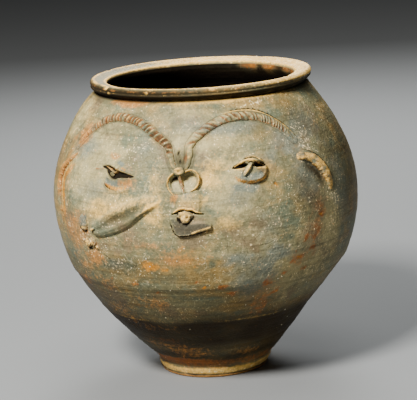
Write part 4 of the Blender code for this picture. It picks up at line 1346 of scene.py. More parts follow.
RIGHT_EYE = Eye(
    (26.4, 0.414), 0.0312, 0.0226, -0.05, 0.0043, 0.3,
    slits=(
        (((19.6, 0.444), (21.4, 0.452), (23.2, 0.456), (25, 0.457)), 0.0025, 0.001),
        (((26.7, 0.448), (28.6, 0.449), (30.4, 0.448), (32.4, 0.442)), 0.0025, 0.0008)),
    lower_lid=((19.8, 0.388), (21, 0.354), (23, 0.33), (25.5, 0.318), (28.3, 0.323), (30.9, 0.341), (32.3, 0.371)),
    lid_rise=0.0006,
    lid_half=0.0012,
    # The dark lines paint shadow round the pad, under the lids and between them.
    grooves=(
        Groove(
            ((19.4, 0.392), (20.6, 0.346), (22.8, 0.316), (25.5, 0.303), (28.5, 0.308), (31.3, 0.328), (32.9, 0.366)),
            0.0005, 0.0009, HOLLOW, 0.6, 0.3),
        Groove(((27.6, 0.392), (30, 0.386), (32.2, 0.392)), 0.0004, 0.0026, HOLLOW, 0.62, 0.3),
        Groove(((23.2, 0.468), (23.6, 0.44), (22.6, 0.4)), 0, 0.0009, RUST, 0.9, 0.3),
        Groove(((19.2, 0.443), (17, 0.441), (14.2, 0.432)), 0.0002, 0.0004, BARE, 0.5),
        Groove(((20, 0.428), (22.3, 0.424), (24.4, 0.422)), -0.0004, 0.0007, BARE, 1),
        Groove(((27.8, 0.42), (29.6, 0.416), (31.4, 0.414), (32.8, 0.408)), -0.0005, 0.0008, BARE, 1),
        Groove(((21.4, 0.38), (25, 0.356), (30.6, 0.372)), 0, 0.003, COOL, 1),
        Groove(((20.4, 0.462), (23, 0.474), (26, 0.478), (29, 0.468), (31.8, 0.448)), 0, 0.0022, RUST, 0.6),
        Groove(((20.4, 0.458), (23, 0.47), (26, 0.472), (29, 0.462), (31.8, 0.448)), 0, 0.0016, HOLLOW, 0.7),
        Groove(((23.4, 0.506), (26, 0.512), (28.8, 0.51), (30.8, 0.49), (32.2, 0.46)), 0, 0.0016, HOLLOW, 0.95),
        Groove(
            ((19.6, 0.398), (20.6, 0.354), (23, 0.326), (25.5, 0.314), (28.3, 0.318), (31, 0.336), (32.6, 0.372)), 0,
            0.0014, OCHRE, 1)),
    strips=(
        Strip(
            "eye_right_upper_lid", ((19.9, 0.45), (22, 0.474), (24.2, 0.489), (26.6, 0.49), (28.6, 0.479),
            (30.4, 0.462), (32.2, 0.442)), ((0, 0.0005, 0.0002), (0.2, 0.0012, 0.0009), (0.5, 0.0014, 0.0013),
            (0.8, 0.0011, 0.0009), (1, 0.0005, 0.0002)), Section(0.75), worn=1.5, seed=71, across=18, uneven=0.25,
            flank_shade_and_rust=1, wear=0.6, tint=(OCHRE, 0, 1, 0.6)),
        Strip(
            "eye_right_outer_lid", ((24.6, 0.512), (26.6, 0.524), (28.6, 0.52), (30.2, 0.497), (31.8, 0.464)),
            ((0, 0.0004, 0.0001), (0.4, 0.0009, 0.0009), (0.8, 0.0008, 0.0008), (1, 0.0003, 0.0001)), worn=1, seed=73,
            uneven=0.3, flank_shade_and_rust=1, tint=(OCHRE, 0, 1, 0.8)),
        Strip(
            "eye_right_hook", ((24.8, 0.474), (26, 0.481), (27.2, 0.47), (27.8, 0.448), (27.9, 0.422)),
            ((0, 0.0003, 0.001), (0.4, 0.0007, 0.0022), (0.8, 0.0006, 0.0016), (1, 0.0003, 0.0004)), worn=0.5,
            seed=75, across=14, uneven=0.2, flank_shade_and_rust=0.8)),
    pellets=(
        Pellet(
            "eye_right_peg", (24.6, 0.418), 0.0042, 0.0124, 0.0026, tilt=-0.7, taper=0.1, seat=0.0004, rough=0.12,
            worn=0.85, seed=17, shade=0.5),),
    lid_worn=0.4)


@dataclass(frozen=True)
class Ears(Part):
    """A raised flange on each temple, blended into the wall."""

    left: Line = (
        (-50.4, 0.56), (-52.2, 0.52), (-55.2, 0.474), (-57.9, 0.424), (-59.8, 0.369), (-60.6, 0.308), (-60.5, 0.244),
        (-59.9, 0.171), (-59.3, 0.1), (-58.8, 0.016), (-58.8, -0.071), (-59.6, -0.15))
    right: Line = (
        (46.8, 0.463), (49.6, 0.458), (52.2, 0.441), (54.7, 0.412), (56.9, 0.368), (58.6, 0.318), (59.9, 0.258),
        (60.7, 0.2), (61.1, 0.148), (61, 0.108))
    left_swell: float = 0.0013
    right_swell: float = 0.001
    hollow_depth: float = 0.0009
    hollow_inset: float = 0.0068
    strips: tuple[Strip, ...] = (
        Strip(
            "ear_left", left, ((0, 0.001, 0.0004), (0.12, 0.0028, 0.0018), (0.35, 0.0038, 0.0024),
            (0.6, 0.0038, 0.0018), (0.85, 0.0036, 0.0009), (1, 0.002, 0.0001)), Section(1.15, 1.25), worn=0.3,
            seed=81, uneven=0.14, flank_shade_and_rust=0.95, tint=(WARM, 0, 0.6, 1), step=0.00045, across=22),
        Strip(
            "ear_right", right, ((0, 0.0024, 0.001), (0.08, 0.0034, 0.002), (0.18, 0.0034, 0.0018),
            (0.4, 0.005, 0.0022), (0.7, 0.005, 0.0024), (0.9, 0.0038, 0.0018), (1, 0.0016, 0.0003)),
            Section(0.55, 0.7), worn=0.9, seed=83, uneven=0.07, flank_shade_and_rust=0.3, wear=0.3, pits=0.75,
            tint=(WARM, 0, 1, 0.9), step=0.00045, across=22))
    cares: tuple[Care, ...] = ((left[:8], 0.009, 2), (right, 0.011, 2))

    def lay(self, relief: Relief) -> None:
        """Swell the wall under the flanges and hollow it inside the right one, with painted shade in that hollow and
        along the flanges.
        """
        for knots, rise in ((self.left, self.left_swell), (self.right, self.right_swell)):
            pick, along, side = relief.beside(knots, 0.012)
            ends = both_ends(along, 0.15, 0.35)
            relief.add(pick, rise * hump(side, 0.005) * ends)
        pick, along, side = relief.beside(self.right, 0.014)
        ends = smooth(0.05, 0.3, along) * smooth(0.0, 0.35, 1.0 - along)
        relief.add(pick, -self.hollow_depth * hump(side + self.hollow_inset, 0.0034) * ends)
        # Painted shade in the hollow inside the right flange, and painted shadow along its outer edge.
        relief.stain(SOOT, pick, 0.85 * hump(side + 0.008, 0.005) * ends)
        relief.stain(RUST, pick, 0.25 * hump(side + 0.005, 0.002) * ends)
        relief.stain(HOLLOW, pick, hump(side - 0.0057, 0.0008) * ends)
        pick, along, side = relief.beside(self.left, 0.01)
        start = smooth(0.0, 0.2, along)
        relief.stain(BARE, pick, 0.6 * hump(side - 0.0048, 0.0014) * start)
        relief.stain(OCHRE, pick, 0.85 * hump(side - 0.0078, 0.0036) * start * smooth(1.0, 0.7, along))
        # Painted shadow along both edges of the left flange.
        torn = 0.7 + 0.5 * wobble(relief.flat[pick], 0.006, 62)
        relief.stain(HOLLOW, pick, 0.75 * hump(side + 0.0048, 0.0012) * start * smooth(0.68, 0.45, along) * torn)
        relief.stain(HOLLOW, pick, 0.45 * hump(side - 0.004, 0.0008) * start)


@dataclass(frozen=True)
class Brows(Part):
    """Two strips of clay with knife strokes, running down into the nose."""

    left: Line = (
        (-1.6, 0.452), (-2.9, 0.505), (-3.9, 0.573), (-5, 0.65), (-9.4, 0.722), (-12.4, 0.763), (-15.6, 0.8),
        (-19, 0.831), (-23.2, 0.855), (-27.6, 0.868), (-32, 0.868), (-36.8, 0.852), (-40.7, 0.822), (-43.8, 0.783),
        (-46.8, 0.738), (-49.8, 0.676), (-53.2, 0.606))
    right: Line = (
        (1.9, 0.452), (2.9, 0.505), (3.7, 0.57), (3.9, 0.64), (6, 0.705), (10, 0.762), (14.2, 0.806), (18.1, 0.834),
        (22.6, 0.847), (27.1, 0.849), (31.5, 0.84), (35.8, 0.819), (39.4, 0.79), (42.2, 0.754), (44.8, 0.709),
        (46.9, 0.66), (48.6, 0.608))
    edge_line: Line = (
        (15.4, 0.852), (19.8, 0.881), (24.6, 0.895), (28.7, 0.895), (32.7, 0.888), (36.9, 0.864), (40.6, 0.828),
        (44.2, 0.776), (47.2, 0.716), (48.9, 0.663), (49.8, 0.6))
    far_line: Line = ((53.6, 0.712), (54.8, 0.699), (56.7, 0.667), (58.4, 0.63), (59.8, 0.58))
    swell: float = 0.0008
    form: Form = (
        (0, 0.0018, 0.001), (0.06, 0.0025, 0.0016), (0.14, 0.003, 0.0022), (0.24, 0.0036, 0.0026),
        (0.6, 0.0038, 0.0024), (0.85, 0.0035, 0.0019), (0.95, 0.0024, 0.0012), (1, 0.0008, 0.0002))
    # A painted highlight along the lit edge over the right brow, with painted shadow in the line just above it.
    grooves: tuple[Groove, ...] = (
        Groove(edge_line, -0.0006, 0.0008, BARE, 0.95, 0.2),
        Groove(tuple((turn + 0.3, share + 0.011) for turn, share in edge_line), 0.0004, 0.0009, HOLLOW, 1, 0.3),
        Groove(far_line, -0.0004, 0.0006, BARE, 0.6, 0.3))
    strips: tuple[Strip, ...] = (
        Strip(
            "brow_left", left, form, Section(0.62), stroke_depth=0.0012, strokes=((0.32, 0.0052), (0.42, 0.0038),
            (0.7, 0.0037), (0.8, 0.0026)), stroke_slant=-0.22, stroke_rust=0.14, stroke_span=(0.1, 1), worn=0.62,
            seed=91, step=0.00035, uneven=0.1, tint=(WARM, 0.42, 1, 0.62), across=22),
        Strip(
            "brow_right", right, form, Section(0.62), stroke_depth=0.001, strokes=((0.3, 0.006), (0.5, 0.0052),
            (0.66, 0.005), (0.74, 0.0029)), stroke_slant=0.5, stroke_span=(0.16, 0.96), worn=0.6, seed=95,
            step=0.00035, uneven=0.1, tint=(PALE, 0.25, 0.8, 0.5), across=22))
    cares: tuple[Care, ...] = ((edge_line, 0.0035, 3), (left, 0.007, 2), (right, 0.007, 2))

    def lay(self, relief: Relief) -> None:
        """Blend the strips' edges into the wall, with painted shade along them."""
        for knots in (self.left, self.right):
            pick, along, side = relief.beside(knots, 0.009)
            fade = both_ends(along, 0.3, 0.1)
            relief.add(pick, self.swell * hump(side, 0.0044) * (0.35 + 0.65 * fade))
            # Painted shade along both edges of each brow, and near the nose between them.
            relief.stain(HOLLOW, pick, 0.55 * hump(np.abs(side) - 0.0042, 0.001))
            relief.stain(HOLLOW, pick, 0.5 * hump(np.abs(side) - 0.0032, 0.001) * smooth(0.22, 0.1, along))
        super().lay(relief)


@dataclass(frozen=True)
class Wheel(Part):
    """Rings left by the wheel and the turning knife: height, depth, half width and darkness of each. The darkness
    paints shade in the ring, and where negative a painted light line.
    """

    rings: tuple[tuple[float, float, float, float], ...] = (
        (0.244, 0.0003, 0.0016, 0.1), (0.232, 0.0002, 0.0013, 0), (0.2085, 0.0002, 0.0015, 0),
        (0.179, 0.0002, 0.0014, 0), (0.1495, 0.0003, 0.0015, 0.1), (0.1325, 0.0003, 0.0013, 0.3),
        (0.129, 0.0002, 0.0016, 0.1), (0.118, 0.0002, 0.0018, 0.1), (0.1085, 0.0003, 0.0016, 0.2),
        (0.0985, -0.0003, 0.0012, 0), (0.095, 0.0005, 0.0009, 0.7), (0.0905, 0.0002, 0.0008, 0.3),
        (0.0868, 0.0004, 0.0009, 0.6), (0.0845, -0.0002, 0.0008, 0), (0.077, 0.0002, 0.0013, 0.2),
        (0.07, 0.0002, 0.0016, 0.1), (0.064, -0.0004, 0.0007, -0.9), (0.0625, 0.0006, 0.0008, 0.9),
        (0.056, 0.0003, 0.0011, 0.4), (0.05, 0.0002, 0.001, 0.3), (0.044, 0.0003, 0.0012, 0.5),
        (0.0385, -0.0003, 0.0013, 0), (0.0335, 0.0003, 0.001, 0.4), (0.0285, 0.0002, 0.0009, 0.2),
        (0.023, 0.0003, 0.0011, 0.4), (0.0175, 0.0003, 0.0012, 0.5), (0.0135, 0.0003, 0.0011, 0.3))
    grooves: tuple[Groove, ...] = (
        Groove(((23.4, -0.12), (25.2, -0.155), (26, -0.205), (27.8, -0.249)), 0.0003, 0.0004, LIME, 0.75),
        Groove(((27.6, -0.246), (30.4, -0.24), (32.8, -0.214)), 0.0003, 0.0004, LIME, 0.75),
        Groove(((25.8, 0.1), (27.6, 0.096), (29.6, 0.1)), 0.0003, 0.0005, LIME, 0.8),
        Groove(((47.7, 0.169), (50.6, 0.093), (53.7, -0.012)), 0.0003, 0.0004, LIME, 0.5),
        Groove(((34.3, 0.284), (35.8, 0.268), (35.6, 0.238)), 0.0007, 0.0014, OCHRE, 1),
        # The last three are shallow lines round the lower body, painted in shade.
        Groove(((-22, -0.3), (-12, -0.322), (-2, -0.318)), 0.0003, 0.0005, HOLLOW, 0.4),
        Groove(((-60, -0.64), (-40, -0.655), (-24, -0.64)), 0.0003, 0.0006, HOLLOW, 0.4),
        Groove(((8, -0.7), (20, -0.72), (34, -0.7)), 0.0003, 0.0006, HOLLOW, 0.4))
    dents: tuple[tuple[Place, float, float], ...] = (
        ((-31, -0.3), 0.016, 0.0007), ((12, -0.52), 0.02, 0.0006), ((40, -0.15), 0.014, 0.0005),
        ((-62, -0.35), 0.018, 0.0006), ((-14, -0.87), 0.01, 0.0005), ((150, 0.2), 0.022, 0.0008),
        ((110, -0.3), 0.018, 0.0006), ((-140, 0.5), 0.016, 0.0006), ((205, -0.6), 0.02, 0.0006))
    drift: float = 0.0005
    wear: float = 0.00016
    fine_wear: float = 0.00006
    least_wear: float = 0.00002

    def lay(self, relief: Relief) -> None:
        """Mark the wall."""
        height = relief.flat[:, 2]
        drift = self.drift * wobble(relief.flat, 0.12, 101)
        for level, depth, half, dark in self.rings:
            fade = np.clip(0.75 + 0.5 * wobble(relief.flat, 0.07, int(level * 1e5)), 0.0, 1.0)
            shape = hump(height + drift - level, half) * fade
            relief.height -= depth * shape
            # Painted shade in the ring, or a painted light line along it where the darkness is negative.
            mark = HOLLOW if dark > 0.0 else BARE
            relief.stain(mark, np.arange(len(height)), 0.7 * abs(dark) * shape)
        for place, reach, depth in self.dents:
            pick, x, y = relief.near(place, 3.0 * reach)
            relief.add(pick, -depth * hump(np.hypot(x, y), reach))
        worn = self.wear * (1.0 + wobble(relief.flat, 0.038, 102))
        worn += self.fine_wear * (1.0 + wobble(relief.flat, 0.009, 103))
        relief.height -= np.maximum(worn, self.least_wear)
        super().lay(relief)

    def care(self) -> tuple[Care, ...]:
        """The scratches of the face."""
        return tuple((groove.knots, 0.0022, 3) for groove in self.grooves[:4])


CRUSTS = (
    Pellet(
        "cheek_pellet", (-41.6, -0.038), 0.0088, 0.014, 0.004, tilt=0.1, taper=-0.16, rough=0.07, worn=0.25, seed=23,
        shade=0.5, far_side_shade=0.8),
    Pellet("cheek_crust", (-40.2, -0.216), 0.0054, 0.0082, 0.003, rough=0.3, worn=1.4, seed=29, shade=1),
    Pellet(
        "cheek_crust_right", (-37.7, -0.208), 0.0058, 0.007, 0.0028, rough=0.25, worn=1.1, seed=31,
        dents=((0.0002, 0.0012, 0.0006, 0.0009),)),
    Pellet(
        "cheek_crust_tail", (-36.2, -0.249), 0.0048, 0.0026, 0.0014, tilt=-0.6, rough=0.2, worn=1.2, seed=35, detail=3),
    Pellet(
        "rod_root", (-36.4, -0.079), 0.0062, 0.0026, 0.0018, tilt=0.42, rough=0.15, worn=1.5, seed=37, detail=3,
        shade=0.9))

CHEEK_CRUSTS = Part(
    # Painted shadows beside the cheek pellet, the crust and the rod's root.
    grooves=(
        Groove(
            ((-42.9, 0.02), (-44.2, -0.018), (-44.8, -0.056), (-44.6, -0.088), (-43.8, -0.103), (-42.4, -0.113),
            (-41, -0.113)), 0.0006, 0.0009, HOLLOW, 0.7, 0.3),
        Groove(((-43.2, -0.222), (-42.5, -0.256), (-41, -0.281), (-38.7, -0.281)), 0.0008, 0.0013, HOLLOW, 1, 0.2),
        Groove(((-38.8, -0.112), (-36.9, -0.101), (-34.4, -0.078)), 0.0008, 0.001, HOLLOW, 0.9, 0.2)),
    pellets=CRUSTS,
    cares=tuple((((crust.place[0] - 1.5, crust.place[1]), (crust.place[0] + 1.5, crust.place[1])), 0.012, 2)
                for crust in CRUSTS))

FACE = (Wheel(), Ears(), Brows(), Nose(), Mouth(), LEFT_EYE, RIGHT_EYE, Cheek(), CHEEK_CRUSTS)


def lay_face(relief: Relief) -> None:
    """Lay all of the face's relief."""
    for part in FACE:
        part.lay(relief)


@dataclass(frozen=True)
class Chip:
    """A bite out of the lip: where round it, how far in and down, its reach and its depth."""

    turn: float
    inwards: float
    down: float
    reach: float
    depth: float

    def strike(self, wall: Wall, points: Array, marks: dict[Mark, Array]) -> None:
        """Take the bite out of the points near it."""
        turn = math.radians(self.turn)

        def ring(radius: float, height: float) -> Array:
            """The point of a ring at this turn."""
            return np.array((float(wall.sway(height)) + radius * math.sin(turn), -radius * math.cos(turn), height))

        place = ring(wall.lip_radius - self.inwards, wall.top - self.down)
        heart = ring(wall.lip_radius - wall.heart_inset, wall.top - wall.heart_drop)
        near = hump(np.linalg.norm(points - place, axis=1) * (1.0 + 0.25 * wobble(points, 0.004, 7)), self.reach)
        way = heart - place
        points += np.outer(self.depth * near, way / np.linalg.norm(way))
        marks[BARE] = np.maximum(marks[BARE], near)


@dataclass(frozen=True)
class UrnBody:
    """The turned wall of the urn with the face's relief in it."""

    wall: Wall
    patina: Patina
    columns: int = 240
    lip_wear: float = 0.0001
    lip_fine_wear: float = 0.00006
    chips: tuple[Chip, ...] = (
        Chip(-49, 0.0014, 0.0007, 0.003, 0.0022), Chip(-46, 0.001, 0.006, 0.0018, 0.001),
        Chip(-20, 0.001, 0.003, 0.0016, 0.0007), Chip(14, 0.0012, 0.0006, 0.002, 0.0008),
        Chip(38, 0.0134, 0.0026, 0.0022, 0.0012), Chip(70, 0.0136, 0.0026, 0.0026, 0.0014),
        Chip(100, 0.013, 0.0025, 0.0024, 0.0012), Chip(126, 0.0132, 0.0025, 0.0018, 0.001),
        Chip(168, 0.0132, 0.0025, 0.0028, 0.0013), Chip(-150, 0.0132, 0.0026, 0.0022, 0.0012),
        Chip(-110, 0.0012, 0.001, 0.0026, 0.0014), Chip(-84, 0.0134, 0.0026, 0.0024, 0.0011),
        Chip(84, 0.001, 0.003, 0.002, 0.0012), Chip(152, 0.001, 0.0012, 0.003, 0.0016))

    def profile(self) -> bpy.types.Mesh:
        """The outline as points (radius, sideways shift, height) that know their zone."""
        rows = self.wall.outline()
        height = np.array([row[1] for row in rows])
        mesh = bpy.data.meshes.new("urn_outline")
        mesh.from_pydata(np.stack(([row[0] for row in rows], self.wall.sway(height), height), axis=1).tolist(), [], [])
        write(mesh, "zone", np.array([row[2].value for row in rows], float))
        return mesh

    def tree(self, rows: int, clay: bpy.types.Material) -> Grower:
        """The tree that turns the outline round the axis."""
        grow = Grower("turned_wall", {"Columns": self.columns, "Rows": rows})
        spot = grow.value("GeometryNodeInputPosition")
        across, along, _ = grow.split(spot)
        row = (along + 0.5) * (grow.given("Rows") - 1.0) + 0.1

        def sampled(kind: str, value: Value) -> Value:
            """Read a value of the outline."""
            return grow.value("GeometryNodeSampleIndex", {"data_type": kind, "domain": "POINT"},
                              {"Geometry": grow.group.outputs["Geometry"], "Value": value, "Index": row})

        radius, sway, height = grow.split(sampled("FLOAT_VECTOR", spot))
        turn = across * (2.0 * math.pi)
        place = grow.joined(sway + radius * turn.sine(), radius * turn.cosine() * -1.0, height)
        mesh = grow.grid(grow.given("Columns") + 1.0, grow.given("Rows"))
        mesh = grow.keep(mesh, "zone", sampled("FLOAT", grow.named("zone")))
        grow.finish(grow.placed(mesh, place, 1e-5), clay)
        return grow

    def need(self, points: Array) -> Array:
        """How many times the mesh wants to be halved at each point."""
        wall = self.wall
        need = np.zeros(len(points))
        relief = Relief(wall, points)
        far = (points[:, 2] > wall.crease - 0.001) | (points[:, 2] < wall.foot_rise + 0.001)
        far |= np.linalg.norm(points - relief.flat, axis=1) > 0.003
        for knots, reach, level in (care for part in FACE for care in part.care()):
            pick, _, side = relief.beside(knots, reach + 0.007)
            away = np.abs(side) - reach
            want = np.where(away < 0.0, level, np.where(away < 0.002, level - 1, level - 2))
            need[pick] = np.maximum(need[pick], want)
        need[far] = 0.0
        return need

    def refine(self, mesh: bpy.types.Mesh) -> None:
        """Halve the mesh where the face wants it."""
        for level in (1, 2, 3):
            need = self.need(positions(mesh)) >= level
            work = bmesh.new()
            work.from_mesh(mesh)
            edges = [edge for edge in work.edges if need[edge.verts[0].index] and need[edge.verts[1].index]]
            bmesh.ops.subdivide_edges(work, edges=edges, cuts=1, use_grid_fill=True)
            work.to_mesh(mesh)
            work.free()

    def lip_marks(self, points: Array, marks: dict[Mark, Array]) -> None:
        """Wear and stains of the lip, with its painted highlight and painted shade, band by band."""
        wall = self.wall
        around = np.arctan2(points[:, 0] - wall.sway(points[:, 2]), -points[:, 1])
        radius = np.hypot(points[:, 0] - wall.sway(points[:, 2]), points[:, 1])
        inwards, down = wall.lip_radius - radius, wall.top - points[:, 2]
        lip = smooth(-0.0135, -0.011, -down) * (radius > wall.throat - 0.002)
        front = smooth(0.0026, 0.0012, inwards) * lip
        patchy = 0.55 + 0.45 * wobble(points, 0.012, 201)
        right = smooth(0.1, 1.0, np.sin(around - 0.1))
        marks[BARE] += lip * hump(down - 0.0002, 0.0007) * (0.35 + 0.65 * patchy)
        marks[BARE] += lip * hump(inwards - 0.0134, 0.0014) * smooth(0.005, 0.0036, down) * (0.8 + 0.6 * patchy)
        marks[BARE] += front * 0.45 * hump(down - 0.0052, 0.0005) * patchy
        # The back and the right of the lip's top are painted bright: worn clay and painted highlight, with lime on the
        # right.
        back = smooth(-0.25, 0.45, -np.cos(around)) * smooth(-0.95, -0.2, np.sin(around))
        marks[BARE] += 0.85 * np.maximum(right, back) * lip * smooth(0.0038, 0.0028, down)
        marks[LIME] += 0.75 * right * lip * smooth(0.0038, 0.0028, down) * (0.6 + 0.5 * patchy)
        marks[PALE] += 0.8 * (1.0 - right) * lip * smooth(0.0035, 0.0028, down) * smooth(0.004, 0.006, inwards)
        marks[SOOT] += (1.0 - right) * lip * (0.45 * smooth(0.35, -0.5, np.sin(around) - np.cos(around) * 0.2))
        marks[SOOT] += 0.5 * front * smooth(0.0008, 0.002, down)
        marks[WARM] += 0.55 * front * hump(down - 0.0026, 0.0014) * patchy
        # Painted shade under the rolled lip.
        marks[HOLLOW] += 0.8 * lip * smooth(0.0054, 0.0066, down) * smooth(0.0065, 0.0055, inwards)
        deep = lip * smooth(wall.throat + 0.0014, wall.throat + 0.0006, radius) * smooth(0.0042, 0.0054, down)
        drips = smooth(-1.6, 0.3, wobble(points * (1.0, 1.0, 0.3), 0.03, 203)) * smooth(0.0125, 0.007, down)
        stained = smooth(0.15, 0.45, np.sin(around)) * smooth(0.2, -0.1, np.cos(around)) * drips
        marks[OCHRE] += 0.5 * deep * stained
        marks[RUST] += deep * stained
        # Painted shade inside the throat.
        marks[HOLLOW] += deep * (1.0 - 0.62 * stained)

    def foot_marks(self, points: Array, marks: dict[Mark, Array]) -> None:
        """Wear and stains of the foot, with its painted highlight and painted shade, band by band."""
        wall = self.wall
        height = points[:, 2]
        radius = np.hypot(points[:, 0], points[:, 1])
        side = smooth(wall.foot_radius - 0.006, wall.foot_radius - 0.004, radius)
        torn = wobble(points * (1.0, 1.0, 2.0), 0.014, 205)
        marks[WARM] += side * hump(height - 0.0012, 0.0012)
        # Painted shade in the small notch low on the foot.
        marks[HOLLOW] += side * hump(height - 0.0026, 0.0005) * (0.8 + 0.4 * torn)
        # The bright band round the foot is worn clay and painted highlight.
        band = side * smooth(0.003, 0.004, height) * smooth(0.0102, 0.0078, height + 0.0008 * torn)
        marks[BARE] += band * (0.9 + 0.25 * torn)
        marks[LIME] += 0.75 * band * hump(height - 0.0054, 0.0013)
        marks[WARM] += band * smooth(0.2, -0.6, torn)
        marks[WARM] += 0.6 * side * hump(height - 0.0115, 0.003) * smooth(-0.3, 0.6, torn)

    def shape(self, mesh: bpy.types.Mesh) -> dict[Mark, Array]:
        """Lay the relief on the wall.

        Args:
            mesh: The turned mesh, whose points are moved.

        Returns:
            The marks of its points.
        """
        wall = self.wall
        points, zone = positions(mesh), read(mesh, "zone")
        marks = new_marks(len(points))
        outside = np.flatnonzero(np.abs(zone - Zone.OUTSIDE.value) < 0.01)
        relief = Relief(wall, points[outside])
        lay_face(relief)
        points[outside] = relief.flat + relief.out * relief.height[:, None]
        for mark, values in relief.marks.items():
            marks[mark][outside] = values
        self.patina.mark(points, marks)
        lip = zone > Zone.OUTSIDE.value + 0.01
        lip &= zone < Zone.LIP.value + 0.5
        heart = points.copy()
        radius = np.hypot(points[:, 0], points[:, 1]) + 1e-9
        heart[:, :2] *= ((wall.lip_radius - wall.heart_inset) / radius)[:, None]
        heart[:, 2] = wall.top - wall.heart_drop
        way = heart - points
        way /= np.linalg.norm(way, axis=1, keepdims=True) + 1e-9
        worn = self.lip_wear * (1.0 + wobble(points, 0.011, 211))
        worn += self.lip_fine_wear * (1.0 + wobble(points, 0.004, 212))
        points[lip] += (way * worn[:, None])[lip]
        self.lip_marks(points, marks)
        self.foot_marks(points, marks)
        for chip in self.chips:
            chip.strike(wall, points, marks)
        inside = zone > Zone.LIP.value + 0.5
        # The inside is painted dark: sooty clay and painted shade.
        marks[SOOT][inside] = 1.0
        marks[HOLLOW][inside] = 1.0
        for mark in (BARE, PALE, WARM, RUST):
            marks[mark][inside] = 0.0
        place_points(mesh, points)
        return marks

    def build(self, clay: bpy.types.Material) -> bpy.types.Object:
        """Make the wall a piece."""
        profile = self.profile()
        mesh = self.tree(len(profile.vertices), clay).grow(profile, "urn_body")
        self.refine(mesh)
        marks = self.shape(mesh)
        write_marks(mesh, marks)
        point_outwards(mesh)
        piece = show(mesh, "urn_body", clay)
        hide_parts(NODE)
        return piece


@dataclass(frozen=True)
class LimeGrains:
    """Specks of lime and sand that stand a little out of the clay."""

    wall: Wall
    density: float = 9000.0
    smallest: float = 0.00022
    largest: float = 0.00062
    seed: int = 5

    def tree(self, lime: bpy.types.Material) -> Grower:
        """The tree that scatters the grains."""
        grow = Grower("lime_grains", {"Density": self.density, "Smallest": self.smallest, "Largest": self.largest,
                                      "Seed": self.seed})
        spots = grow.add("GeometryNodeDistributePointsOnFaces", {"distribute_method": "RANDOM"}, {
            "Mesh": grow.group.outputs["Geometry"], "Density": grow.named("grain") * grow.given("Density"),
            "Seed": grow.given("Seed")})
        grain = grow.value("GeometryNodeMeshIcoSphere", None, {"Radius": 1.0, "Subdivisions": 1})
        size = grow.add("FunctionNodeRandomValue", {"data_type": "FLOAT"},
                        {2: grow.given("Smallest"), 3: grow.given("Largest"), "Seed": grow.given("Seed")})
        scale = Value(grow, size.outputs[1])
        grains = grow.value("GeometryNodeInstanceOnPoints", None, {
            "Points": spots.outputs["Points"], "Instance": grain, "Rotation": spots.outputs["Rotation"],
            "Scale": grow.joined(scale, scale * 1.3, scale * 0.45)})
        grow.finish(grains, lime)
        return grow

    def build(self, body: bpy.types.Object, lime: bpy.types.Material) -> bpy.types.Object:
        """Make the grains a piece."""
        ground = body.data.copy()
        points, zone = positions(ground), read(ground, "zone")
        radius = np.hypot(points[:, 0] - self.wall.sway(points[:, 2]), points[:, 1])
        grain = (0.1 + 0.9 * read(ground, LIME.value) + 0.15 * read(ground, OCHRE.value))
        grain *= np.abs(zone - Zone.OUTSIDE.value) < 0.01
        grain *= radius < self.wall.belly_radius - 0.0012
        write(ground, "grain", grain)
        mesh = self.tree(lime).grow(ground, "lime_grains")
        return show(mesh, "lime_grains", lime)


# Finishes

Colour = tuple[float, float, float]


class Shader(Graph):
    """A material's tree with the few things that the finishes share."""

    def __init__(self, name: str) -> None:
        """Make an empty material."""
        self.material = bpy.data.materials.new(name)
        self.material.use_nodes = True
        super().__init__(self.material.node_tree)
        self.tree.nodes.clear()
        self.place = self.add("ShaderNodeTexCoord").outputs["Object"]

    def noise(self, size: float, detail: float = 3.0, stretch: Colour | None = None, rough: float = 0.55) -> Value:
        """Smooth noise with lumps of about a size in metres."""
        place = self.place
        if stretch:
            place = self.value("ShaderNodeVectorMath", {"operation": "MULTIPLY"}, {0: place, 1: stretch})
        return self.value("ShaderNodeTexNoise", None,
                          {"Vector": place, "Scale": 1.0 / size, "Detail": detail, "Roughness": rough})

    def web(self, size: float, bend: float) -> Value:
        """Distance from a net of bent lines, 0 on the lines, with meshes of about a size."""
        drift = self.add("ShaderNodeTexNoise", None, {"Vector": self.place, "Scale": 1.0 / size, "Detail": 2.0})
        place = self.vector("ADD", self.place, self.scaled(drift.outputs["Color"], bend))
        return self.value("ShaderNodeTexVoronoi", {"feature": "DISTANCE_TO_EDGE"},
                          {"Vector": place, "Scale": 1.0 / size})

    def hair(self, size: float, stretch: Colour) -> Value:
        """Thin bent lines, 1 on the lines, with bends of about a size."""
        return (self.noise(size, 2.0, stretch) - 0.5).size().step(0.0038, 0.001)

    def mark(self, mark: Mark) -> Value:
        """A mark written on the mesh."""
        return self.value("ShaderNodeAttribute", {"attribute_name": mark.value}, None, "Fac")

    def mix(self, first: object, second: object, factor: object) -> Value:
        """Colour between two colours."""
        sockets = {0: factor}
        for key, colour in ((6, first), (7, second)):
            sockets[key] = colour if isinstance(colour, Value) else (*colour, 1.0)
        return self.value("ShaderNodeMix", {"data_type": "RGBA"}, sockets, 2)

    def surface(self, colour: object, roughness: object, bump: Value | None, strength: float, distance: float,
                **constants: float) -> bpy.types.Material:
        """End the tree in one surface shader.

        Args:
            colour: Base colour.
            roughness: Roughness.
            bump: Height of the fine relief, or None.
            strength: How much of the bump shows.
            distance: Height of the bump in metres.
            constants: Further sockets of the shader.

        Returns:
            The material.
        """
        sockets: dict[str | int, object] = {"Base Color": colour, "Roughness": roughness}
        if bump is not None:
            sockets["Normal"] = self.add("ShaderNodeBump", None, {
                "Height": bump, "Strength": strength, "Distance": distance}).outputs[0]
        sockets.update({name.replace("_", " "): value for name, value in constants.items()})
        shader = self.add("ShaderNodeBsdfPrincipled", None, sockets)
        self.add("ShaderNodeOutputMaterial", None, {"Surface": shader.outputs[0]})
        return self.material


